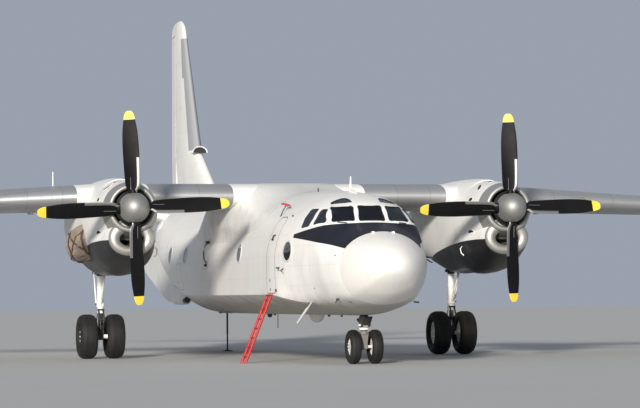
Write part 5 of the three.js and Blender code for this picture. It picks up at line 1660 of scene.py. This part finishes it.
blade_radii = np.concatenate([np.linspace(0.25, 1.0, 16), [1.004], np.linspace(1.05, 1.77, 15), [1.776],
                              np.linspace(1.80, 1.95, 9)])
for side, sign in SIDES.items():
    hub = Matrix.Translation((sign * ENGINE_X, at(PROP_STATION), ENGINE_Z))
    turned = hub @ Matrix.Rotation(math.radians(STOPPED[side]), 4, "Y")
    body = f"propeller_{side}"

    def fit(piece, finish, stands_for=()):
        """Puts a piece made about the shaft in its place and dresses it."""
        piece.data.transform(turned)
        dress(piece, finish, body, stands_for)

    pieces = []
    for quarter in QUARTERS:
        blade = loft("blade", blade_rings(blade_radii))
        blade.data.materials.append(blade_black)
        paint_faces(blade, tip_yellow, lambda face: face.center.z > YELLOW_FROM)
        paint_faces(blade, edge_metal, on_strip)
        blade.data.transform(quarter)
        pieces.append(blade)
    blades = join(f"blades_{side}", pieces)
    for finish in (blade_black, tip_yellow, edge_metal):
        blades.data.materials.append(finish)
    fit(blades, None, (body,))

    roots = [tube("root", [quarter @ Vector((0, 0, r)) for r in (0.0, 0.12, 0.30, 0.36)],
                  [0.105, 0.100, 0.092, 0.088], 32) for quarter in QUARTERS]
    roots.append(tube("core", [(0, -0.03, 0), (0, 0.154, 0)], 0.145, 40))
    fit(join(f"hub_{side}", roots), blade_black)
    # A thin bright lead to the heated edge runs out along the face of each blade.
    lead = [Vector(ring[5]) for ring in blade_rings(np.linspace(0.37, 0.62, 8))]
    leads = [tube("lead", [quarter @ spot for spot in lead], 0.006, 8) for quarter in QUARTERS]
    fit(join(f"blade_leads_{side}", leads), edge_metal)
    fit(turned_about_y(f"back_plate_{side}", BACK_PLATE, True), blade_black)

    profile = [(0.20, 0.058), (0.304, 0.058), (SPINNER_RADIUS, 0.050)]
    for a in np.linspace(0, math.pi / 2, 22):
        profile.append((max(SPINNER_RADIUS * math.cos(a), 0.0004), -SPINNER_LONG * math.sin(a)))
    spinner = turned_about_y(f"spinner_shell_{side}", profile)
    for quarter in QUARTERS:
        way_out = [quarter @ Vector((0, 0, r)) for r in (0.15, 0.36)]
        carve(spinner, tube("slot", way_out, 0.122, 32))
    fit(spinner, spun_metal, (f"spinner_{side}",))

# Wheels and tyres.
# Light alloy rims in two bolted halves turn on a steel axle; the tyres are cross-ply rubber with
# worn circumferential grooves and a dusty tread.
tyre_rubber, shader, place = new_material("tyre_rubber")
grit = noise(place, 45.0, 3.0)
dusty = ramp(noise(place, 2.5, 4.0), 0.35, 0.75)
rubber = blend(dusty, (0.005, 0.005, 0.0055, 1), (0.018, 0.017, 0.0155, 1))
tone = blend(times(grit, 0.4), rubber, (0.009, 0.009, 0.009, 1))
wire(shader, tone, plus(0.6, times(grit, 0.3)), (grit, 0.35, 0.002))
RIM_WHITE = (0.84, 0.83, 0.80, 1)
wheel_paint = mottled("wheel_paint", RIM_WHITE, (0.5, 0.48, 0.45, 1), 9.0, 5.0, (0.35, 0.3), (0.4, 0.75))
# Tyre side, rim to tread: share of the depth of the tyre, share of the half width.
TYRE_SIDE = [(0.0, 0.60), (0.06, 0.72), (0.18, 0.89), (0.36, 0.99), (0.5, 0.99), (0.64, 0.95),
             (0.77, 0.86), (0.87, 0.73), (0.94, 0.56), (0.975, 0.42)]
GROOVES = (-0.15, -0.05, 0.05, 0.15)
GROOVE_HALF = 0.014
GROOVE_DEEP = 0.009


def turned_about_x(name, profile, centre, sides=72, wrap=True):
    """A ring turned about X through the centre from (radius, x) points."""
    cx, cy, cz = centre
    rings = [[(cx + x, cy + r * math.cos(a), cz + r * math.sin(a)) for a in circle(sides)]
             for r, x in profile]
    return loft(name, rings, wrap=wrap)


def tyre_profile(radius, width, rim):
    deep = radius - rim
    side = [(rim + deep * r, width / 2 * x) for r, x in TYRE_SIDE]
    tread = []
    for g in GROOVES:
        crown = radius - deep * 0.2 * g * g
        for way, down in ((-1, 0), (-0.7, GROOVE_DEEP), (0.7, GROOVE_DEEP), (1, 0)):
            tread.append((min(crown - down, radius - 0.0005), (g + way * GROOVE_HALF) * width))
    return [(r, -x) for r, x in side] + tread + side[::-1]


def rim_profile(radius, width):
    """One rim half's outer face: flange, well and hub, as (radius, x outwards from the middle)."""
    flange = [(radius, 0.52), (radius + 0.012, 0.62), (radius + 0.010, 0.68), (radius - 0.012, 0.66),
              (radius - 0.03, 0.62)]
    well = ((0.76, 0.60), (0.45, 0.64), (0.34, 0.76), (0.30, 0.90), (0.20, 0.92))
    face = flange + [(radius * r, x) for r, x in well] + [(0.002, 0.92)]
    return [(r, width / 2 * x) for r, x in face]


def wheel_pair(body, centre, radius, width, apart, rim, axle, tyre_nodes):
    """Two tyres on one pair of rims; tyre_nodes names the tyre on the starboard side first."""
    for way, tyre_node in zip((-1, 1), tyre_nodes):
        middle = (centre[0] + way * apart / 2, centre[1], centre[2])
        tyre = turned_about_x(f"{tyre_node}_rubber", tyre_profile(radius, width, rim), middle)
        dress(tyre, tyre_rubber, body, stands_for=(tyre_node,))
    shaft = [(0.002, -apart / 2), (axle, -apart / 2), (axle, apart / 2), (0.002, apart / 2)]
    parts = [turned_about_x("axle", shaft, centre, 40, wrap=False)]
    face = rim_profile(rim, width)
    for wheel in (-1, 1):
        shift = wheel * apart / 2
        outer = [(r, shift + x) for r, x in face]
        inner = [(r, shift - x * 0.8) for r, x in face[:-4]] + [(axle + 0.004, shift - width * 0.30)]
        parts.append(turned_about_x("rim", outer[::-1] + inner, centre, 56, wrap=False))
        for a in circle(10):
            y, z = centre[1] + rim * 0.6 * math.cos(a), centre[2] + rim * 0.6 * math.sin(a)
            for way in (-1, 1):
                x = centre[0] + shift + way * width * (0.30 if way == wheel else 0.18)
                parts.append(tube("bolt", [(x, y, z), (x + way * 0.022, y, z)], 0.012 * rim / 0.27, 6))
    dress(join(f"{body}_rims", parts), wheel_paint, body, stands_for=(body,))


MAIN_GEAR = at(10.1)
NOSE_GEAR = at(2.45)
# Radius, width, distance between the two tyres, radius of the rim and of the axle.
MAIN_WHEEL = (0.48, 0.39, 0.59, 0.27, 0.045)
NOSE_WHEEL = (0.33, 0.22, 0.43, 0.17, 0.028)
for side, sign in SIDES.items():
    tyres = [f"main_tyre_{side}_inner", f"main_tyre_{side}_outer"][::sign]
    wheel_pair(f"main_wheels_{side}", (sign * ENGINE_X, MAIN_GEAR, MAIN_WHEEL[0]), *MAIN_WHEEL, tyres)
tyres = ["nose_tyre_starboard", "nose_tyre_port"]
wheel_pair("nose_wheels", (0, NOSE_GEAR, NOSE_WHEEL[0]), *NOSE_WHEEL, tyres)

# Main gear legs.
# A steel oleo strut with its drag brace and side jack is painted white. Below it are a dull plated
# sliding tube, black forged scissor links ahead, and brake hoses clipped down its back.


def coated(name, clean, grime, amount, gloss):
    """Paint on a forging or a tube, which has no seams."""
    return painted(name, clean, grime, amount, gloss=gloss, seam_share=0)


strut_paint = coated("strut_paint", (0.86, 0.85, 0.80, 1), (0.14, 0.12, 0.10, 1), 0.45, 0.4)
dark_fitting = coated("dark_fitting", (0.035, 0.034, 0.033, 1), (0.02, 0.018, 0.016, 1), 0.5, 0.5)
fork_grey = coated("fork_grey", (0.20, 0.19, 0.175, 1), (0.06, 0.05, 0.045, 1), 0.6, 0.5)
PLATING = (0.40, 0.39, 0.37, 1)
chrome = mottled("chrome", PLATING, (0.22, 0.21, 0.19, 1), 14.0, 4.0, (0.12, 0.15), Metallic=1.0)


def rods(y, table):
    """Rods and pipes whose points count their Y from a leg's. Rows: points, radius or radii, sides."""
    return [tube("rod", [(p[0], y + p[1], p[2]) for p in points], radius, sides)
            for points, radius, sides in table]


def post(heights, radii, sides=36):
    """A row of such a table for an upright round post on the leg's own line."""
    return [(0, 0, z) for z in heights], radii, sides


def bar(half, y, z, radius, sides):
    """A row for a level bar across the leg."""
    return [(-half, y, z), (half, y, z)], radius, sides


# The strut, its collar and band, the drag brace and the side jack.
STRUT = [
    post((0.98, 0.985, 2.38), [0.064, 0.070, 0.070], 40),
    post((1.12, 1.13, 1.21, 1.22), [0.080, 0.088, 0.088, 0.080], 40),
    post((1.52, 1.56), 0.075, 40),
    ([(0, -0.07, 1.18), (0, -0.60, 1.785)], 0.024, 20),
    ([(0.095, 0, 1.19), (0.15, -0.06, 1.87)], 0.016, 16),
]
# The jack's foot, the strut's head and trunnion, the four links, their pins, and the axle's block.
LEG_FITTINGS = [
    ([(0.03, 0, 1.17), (0.11, 0, 1.19)], 0.022, 16),
    post((1.79, 1.80, 2.0), [0.074, 0.082, 0.082]),
    ([(-0.13, 0, 1.86), (0.17, 0, 1.86)], 0.036, 24),
    *[([(x, -0.06, 1.06), (x, -0.21, 0.84)], 0.018, 14) for x in (-0.05, 0.05)],
    *[([(x, -0.21, 0.84), (x, -0.04, 0.64)], 0.018, 14) for x in (-0.05, 0.05)],
    bar(0.075, -0.21, 0.84, 0.020, 16),
    bar(0.075, -0.07, 1.06, 0.020, 16),
    ([(x, 0, 0.48) for x in (-0.05, -0.046, 0.046, 0.05)], [0.070, 0.078, 0.078, 0.070], 32),
    post((0.49, 0.60, 0.64), [0.075, 0.075, 0.066], 32),
]
HOSE = [(1, 0.10, 2.1), (1, 0.104, 1.6), (1, 0.118, 1.2), (1.3, 0.11, 1.0), (1.8, 0.15, 0.82),
        (1.6, 0.12, 0.64), (1.3, 0.065, 0.54)]
HOSES = [([(x * share, y, z) for share, y, z in HOSE], 0.009, 10) for x in (-0.035, 0.035)]
for side in SIDES:
    leg = on_nacelle(join(f"leg_cylinder_{side}", rods(MAIN_GEAR, STRUT)), side)
    dress(leg, strut_paint, stands_for=(f"main_leg_{side}",))
    slide = tube(f"leg_slide_{side}", [(0, MAIN_GEAR, 0.54), (0, MAIN_GEAR, 0.985)], 0.052, 36)
    dress(on_nacelle(slide, side), chrome)
    links = on_nacelle(join(f"leg_links_{side}", rods(MAIN_GEAR, LEG_FITTINGS)), side)
    dress(links, dark_fitting)
    hoses = on_nacelle(join(f"leg_hoses_{side}", rods(MAIN_GEAR, HOSES)), side)
    dress(hoses, dark_rubber, smooth=60)

# Nose gear.
# A short strut in a dark housing that leans forwards; the steered grey fork below it carries the
# axle. Both are steel forgings with white hydraulic fittings and pipes between them.
NOSE_HOUSING = [(-0.36, 0.915), (0.06, 0.915), (0.07, 0.705), (-0.09, 0.705)]
# The strut and its brace.
NOSE_STRUT = [
    post((0.6407, 0.646, 1.055), [0.074, 0.080, 0.080]),
    ([(0, 0.06, 0.73), (0, 0.48, 0.85)], 0.026, 18),
]
# A collar, the steering jack and two pipes.
NOSE_FITTINGS = [
    post((0.652, 0.658, 0.694, 0.70), [0.092, 0.098, 0.098, 0.092]),
    bar(0.124, -0.06, 0.745, 0.023, 16),
    bar(0.05, -0.105, 0.745, 0.026, 18),
    ([(-0.03, -0.11, 0.76), (-0.035, -0.21, 0.82), (-0.03, -0.32, 0.90)], 0.009, 10),
    ([(0.045, -0.10, 0.75), (0.04, -0.16, 0.79), (0.045, -0.27, 0.87)], 0.007, 10),
]
# The sliding tube, its collar, the axle's block, two links and their pin.
FORK = [
    post((0.33, 0.639), 0.052, 32),
    post((0.570, 0.576, 0.614, 0.620), [0.086, 0.092, 0.092, 0.086], 32),
    ([(x, 0, 0.33) for x in (-0.055, -0.05, 0.05, 0.055)], [0.052, 0.058, 0.058, 0.052], 32),
    *[([(x, 0.07, 0.60), (x, 0.19, 0.48), (x, 0.04, 0.37)], 0.011, 12) for x in (0.03, -0.03)],
    bar(0.045, 0.19, 0.48, 0.014, 14),
]
FORK_PLATE = [(-0.075, 0.60), (0.075, 0.60), (0.052, 0.40), (0.05, 0.29), (-0.05, 0.29), (-0.052, 0.40)]
housing = rounded([(NOSE_GEAR + y, z) for y, z in NOSE_HOUSING], 0.02)
upper = rods(NOSE_GEAR, NOSE_STRUT) + [prism("housing", housing, "X", -0.086, 0.086)]
dress(join("nose_strut", upper), dark_fitting, stands_for=("nose_leg",))
dress(join("nose_leg_fittings", rods(NOSE_GEAR, NOSE_FITTINGS)), strut_paint)
plate = prism("plate", rounded(FORK_PLATE, 0.012), "Y", NOSE_GEAR - 0.065, NOSE_GEAR + 0.05)
fork = join("nose_fork_links", rods(NOSE_GEAR, FORK) + [plate])
dress(fork, fork_grey, "nose_steering", stands_for=("nose_fork",))

# Boarding ladder.
# A welded tube ladder in chipped red paint hooks over the sill of the crew door and stands on the
# ground on two flat feet.
LADDER_TOP = Vector((-1.468, 0, 1.335))
LADDER_FOOT = Vector((-1.985, 0, 0.03))
LADDER_Y = at(4.265)
LADDER_HALF = 0.19
RUNGS = 7
red_paint, shader, place = new_material("red_paint")
chips = noise(place, 26.0, 6.0, 0.7)
red = blend(noise(place, 3.0, 3.0), (0.60, 0.010, 0.012, 1), (0.42, 0.009, 0.010, 1))
wire(shader, blend(ramp(chips, 0.64, 0.7), red, (0.12, 0.08, 0.07, 1)), plus(0.36, times(chips, 0.3)))
ladder = []
for way in (-1, 1):
    y = LADDER_Y + way * LADDER_HALF
    foot = Vector((LADDER_FOOT.x, y, LADDER_FOOT.z))
    head = Vector((LADDER_TOP.x, y, LADDER_TOP.z))
    hook = [head, head + Vector((0.012, 0, 0.012)), head + Vector((0.026, 0, 0.012))]
    pad = rounded(rectangle(foot.x - 0.045, foot.x + 0.045, y - 0.04, y + 0.04), 0.012)
    ladder += [tube("rail", [foot, head], 0.0255, 16), tube("hook", hook, 0.014, 12)]
    ladder.append(prism("foot", pad, "Z", 0.001, 0.014))
for k in range(RUNGS):
    x, _, z = LADDER_TOP.lerp(LADDER_FOOT, (k + 0.5) / RUNGS)
    rung = [(x, LADDER_Y - LADDER_HALF, z), (x, LADDER_Y + LADDER_HALF, z)]
    ladder.append(tube("rung", rung, 0.016, 14))
sill_bar = [(-1.472, LADDER_Y - 0.30, 1.338), (-1.472, LADDER_Y + 0.23, 1.338)]
ladder.append(tube("sill_bar", sill_bar, 0.019, 14))
dress(join("ladder_frame", ladder), red_paint, stands_for=("boarding_ladder",), smooth=50)

# Tail stay.
# A loose steel prop stands under the belly, so that loading can't tip the tail. It is a rod in a
# sleeve with a socket at its top and a round foot that rests on the ground.
STAY = [
    post((0.03, 0.985), 0.019, 20),
    post((0.42, 0.428, 0.94), [0.020, 0.022, 0.022], 20),
    post((0.015, 0.019, 0.030, 0.055), [0.124, 0.130, 0.122, 0.03], 40),
]
stay = join("tail_stay_rod", rods(at(15.85), STAY))
dress(stay, dark_fitting, stands_for=("tail_stay",))

# Aerials, probes and lights.
# Aluminium and plastic fittings screwed to the skin: white rod and blade aerials, dark pressure
# probes, one under a red cover, wipers, radome latches, and domes under the belly.
small_white = painted("small_white", (0.88, 0.87, 0.84, 1), GRIME, 0.15, seam_share=0)
# Points as (x, station, z), and the radius at each.
WHITE_RODS = {
    "blade_aerial": ([(0, 3.43, 3.31), (0, 3.43, 3.50), (0, 3.42, 3.655)], [0.024, 0.020, 0.012]),
    "rod_aerial": ([(-0.97, 2.62, 1.22), (-1.0, 2.86, 1.10), (-1.01, 2.95, 1.06), (-1.04, 3.62, 0.795)],
                   [0.012, 0.013, 0.026, 0.024]),
    "wing_aerial": ([(-5.16, 8.7, 3.68), (-5.16, 8.7, 3.98)], [0.014, 0.010]),
}
AERIAL_FOOT = [(3.46, 3.30), (3.46, 3.50), (3.38, 3.43), (3.24, 3.385), (3.02, 3.345), (2.86, 3.25)]


def station_rod(name, points, radius, sides):
    """A rod through (x, station, z) points."""
    return tube(name, [(x, at(s), z) for x, s, z in points], radius, sides)


for name, (points, radii) in WHITE_RODS.items():
    dress(station_rod(name, points, radii, 14), small_white, smooth=60)
foot = prism("blade_aerial_foot", [(at(s), z) for s, z in AERIAL_FOOT], "X", -0.016, 0.016)
dress(foot, small_white)

DARK_RODS = {
    "nose_probe_low": ([(-0.70, 1.55, 1.27), (-0.77, 1.50, 1.25), (-0.78, 1.28, 1.25)], 0.015),
    "nose_probe_fork": ([(-0.74, 1.52, 1.25), (-0.80, 1.45, 1.19), (-0.82, 1.35, 1.18)], 0.010),
    "nose_probe_port": ([(0.86, 1.94, 1.19), (0.90, 1.90, 1.18), (0.90, 1.74, 1.18)], 0.015),
    "flank_probe_port": ([(1.06, 2.0, 2.05), (1.16, 1.96, 2.04), (1.18, 1.80, 2.03)], 0.018),
    "flank_fork_port": ([(1.10, 2.0, 2.03), (1.19, 1.92, 1.95), (1.20, 1.82, 1.94)], 0.012),
    "flank_probe_upper": ([(-1.38, 3.66, 1.87), (-1.46, 3.63, 1.87), (-1.48, 3.50, 1.87)], 0.016),
    "flank_probe_fork": ([(-1.35, 3.45, 1.86), (-1.42, 3.42, 1.82), (-1.43, 3.32, 1.80)], 0.011),
    "roof_probe_stem": ([(-1.12, 4.78, 2.90), (-1.09, 4.66, 3.02), (-1.05, 4.56, 3.12)], 0.010),
    "roof_probe_head": ([(-1.14, 4.60, 3.16), (-0.96, 4.52, 3.11)], 0.012),
    "roof_probe_tail": ([(-1.03, 4.56, 3.10), (-0.93, 4.50, 3.06)], 0.008),
    "roof_stub": ([(0, 6.2, 3.44), (0, 6.2, 3.54)], 0.014),
    "door_mark": ([(-1.08, 3.74, 2.90), (-1.12, 3.66, 2.89)], 0.016),
    "wiper_starboard": ([(-0.672, 1.80, 2.716), (-0.50, 1.725, 2.700)], 0.009),
    "wiper_port": ([(0.53, 1.735, 2.700), (0.675, 1.775, 2.684)], 0.009),
    "belly_stub_front": ([(0, 4.25, 0.95), (0, 4.25, 0.895)], 0.022),
    "belly_stub_rear": ([(0, 5.34, 0.95), (0, 5.34, 0.895)], 0.028),
    "belly_rod": ([(0, 10.17, 0.95), (0, 10.17, 0.62)], 0.008),
    "belly_blade": ([(0, 10.48, 0.95), (0, 10.48, 0.90)], 0.026),
    "hatch_pipe": ([(-1.385, 11.0, 2.52), (-1.46, 11.02, 2.46), (-1.50, 10.99, 2.30), (-1.50, 10.93, 2.15),
                    (-1.43, 10.92, 2.02)], 0.014),
    "rail_end": ([(-1.19, 14.68, 1.25), (-1.21, 14.95, 1.25)], 0.068),
    "hatch_fitting_low": ([(-1.42, 10.96, 2.02), (-1.48, 10.90, 2.02)], 0.035),
    "hatch_fitting_high": ([(-1.36, 11.05, 2.53), (-1.43, 10.98, 2.53)], 0.030),
}
for name, (points, radius) in DARK_RODS.items():
    dress(station_rod(name, points, radius, 12), dark_fitting, smooth=60)
cover = station_rod("probe_cover", [(-1.115, 4.587, 3.165), (-0.985, 4.533, 3.13)], 0.020, 14)
dress(cover, red_paint, smooth=60)
rust = painted("rust_paint", (0.20, 0.055, 0.03, 1), (0.08, 0.04, 0.03, 1), 0.5, seam_share=0)
block = prism("door_block", rectangle(at(3.94), at(3.86), 1.405, 1.46), "X", -1.425, -1.37)
dress(block, rust)
for k, x in enumerate((-0.195, 0.195)):
    latch = rounded(rectangle(x - 0.024, x + 0.024, 2.47, 2.512), 0.008)
    dress(prism(f"radome_latch_{k}", latch, "Y", at(0.905), at(0.99)), small_white)
for k, (station, z) in enumerate(((1.15, 2.07), (1.25, 1.195), (2.23, 1.46))):
    hull_disc(f"drain_{k}", station, z, 0.016, 0.0, -1, 0.004, dark_rubber, edge=0.003, steps=16)
# Station, radius, depth and finish of the domes.
DOMES = {
    "belly_dome_front": (6.4, 0.16, 0.165, small_white),
    "belly_dome_rear": (11.0, 0.062, 0.085, dark_fitting),
}
for name, (station, radius, deep, finish) in DOMES.items():
    rings = []
    for tilt in (0, 15, 30, 45, 60, 75, 87):
        reach, z = radius * math.cos(math.radians(tilt)), 0.932 - deep * math.sin(math.radians(tilt))
        rings.append([(reach * math.cos(a), at(station) + reach * math.sin(a), z) for a in circle(32)])
    rings.insert(0, [(x, y, 0.95) for x, y, z in rings[0]])
    dress(loft(name, rings), finish, smooth=60)

box_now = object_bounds()
boxes = {"cad": cad_box, "visual": box_now}
{key: [list(map(float, v)) for v in box] for key, box in boxes.items()}
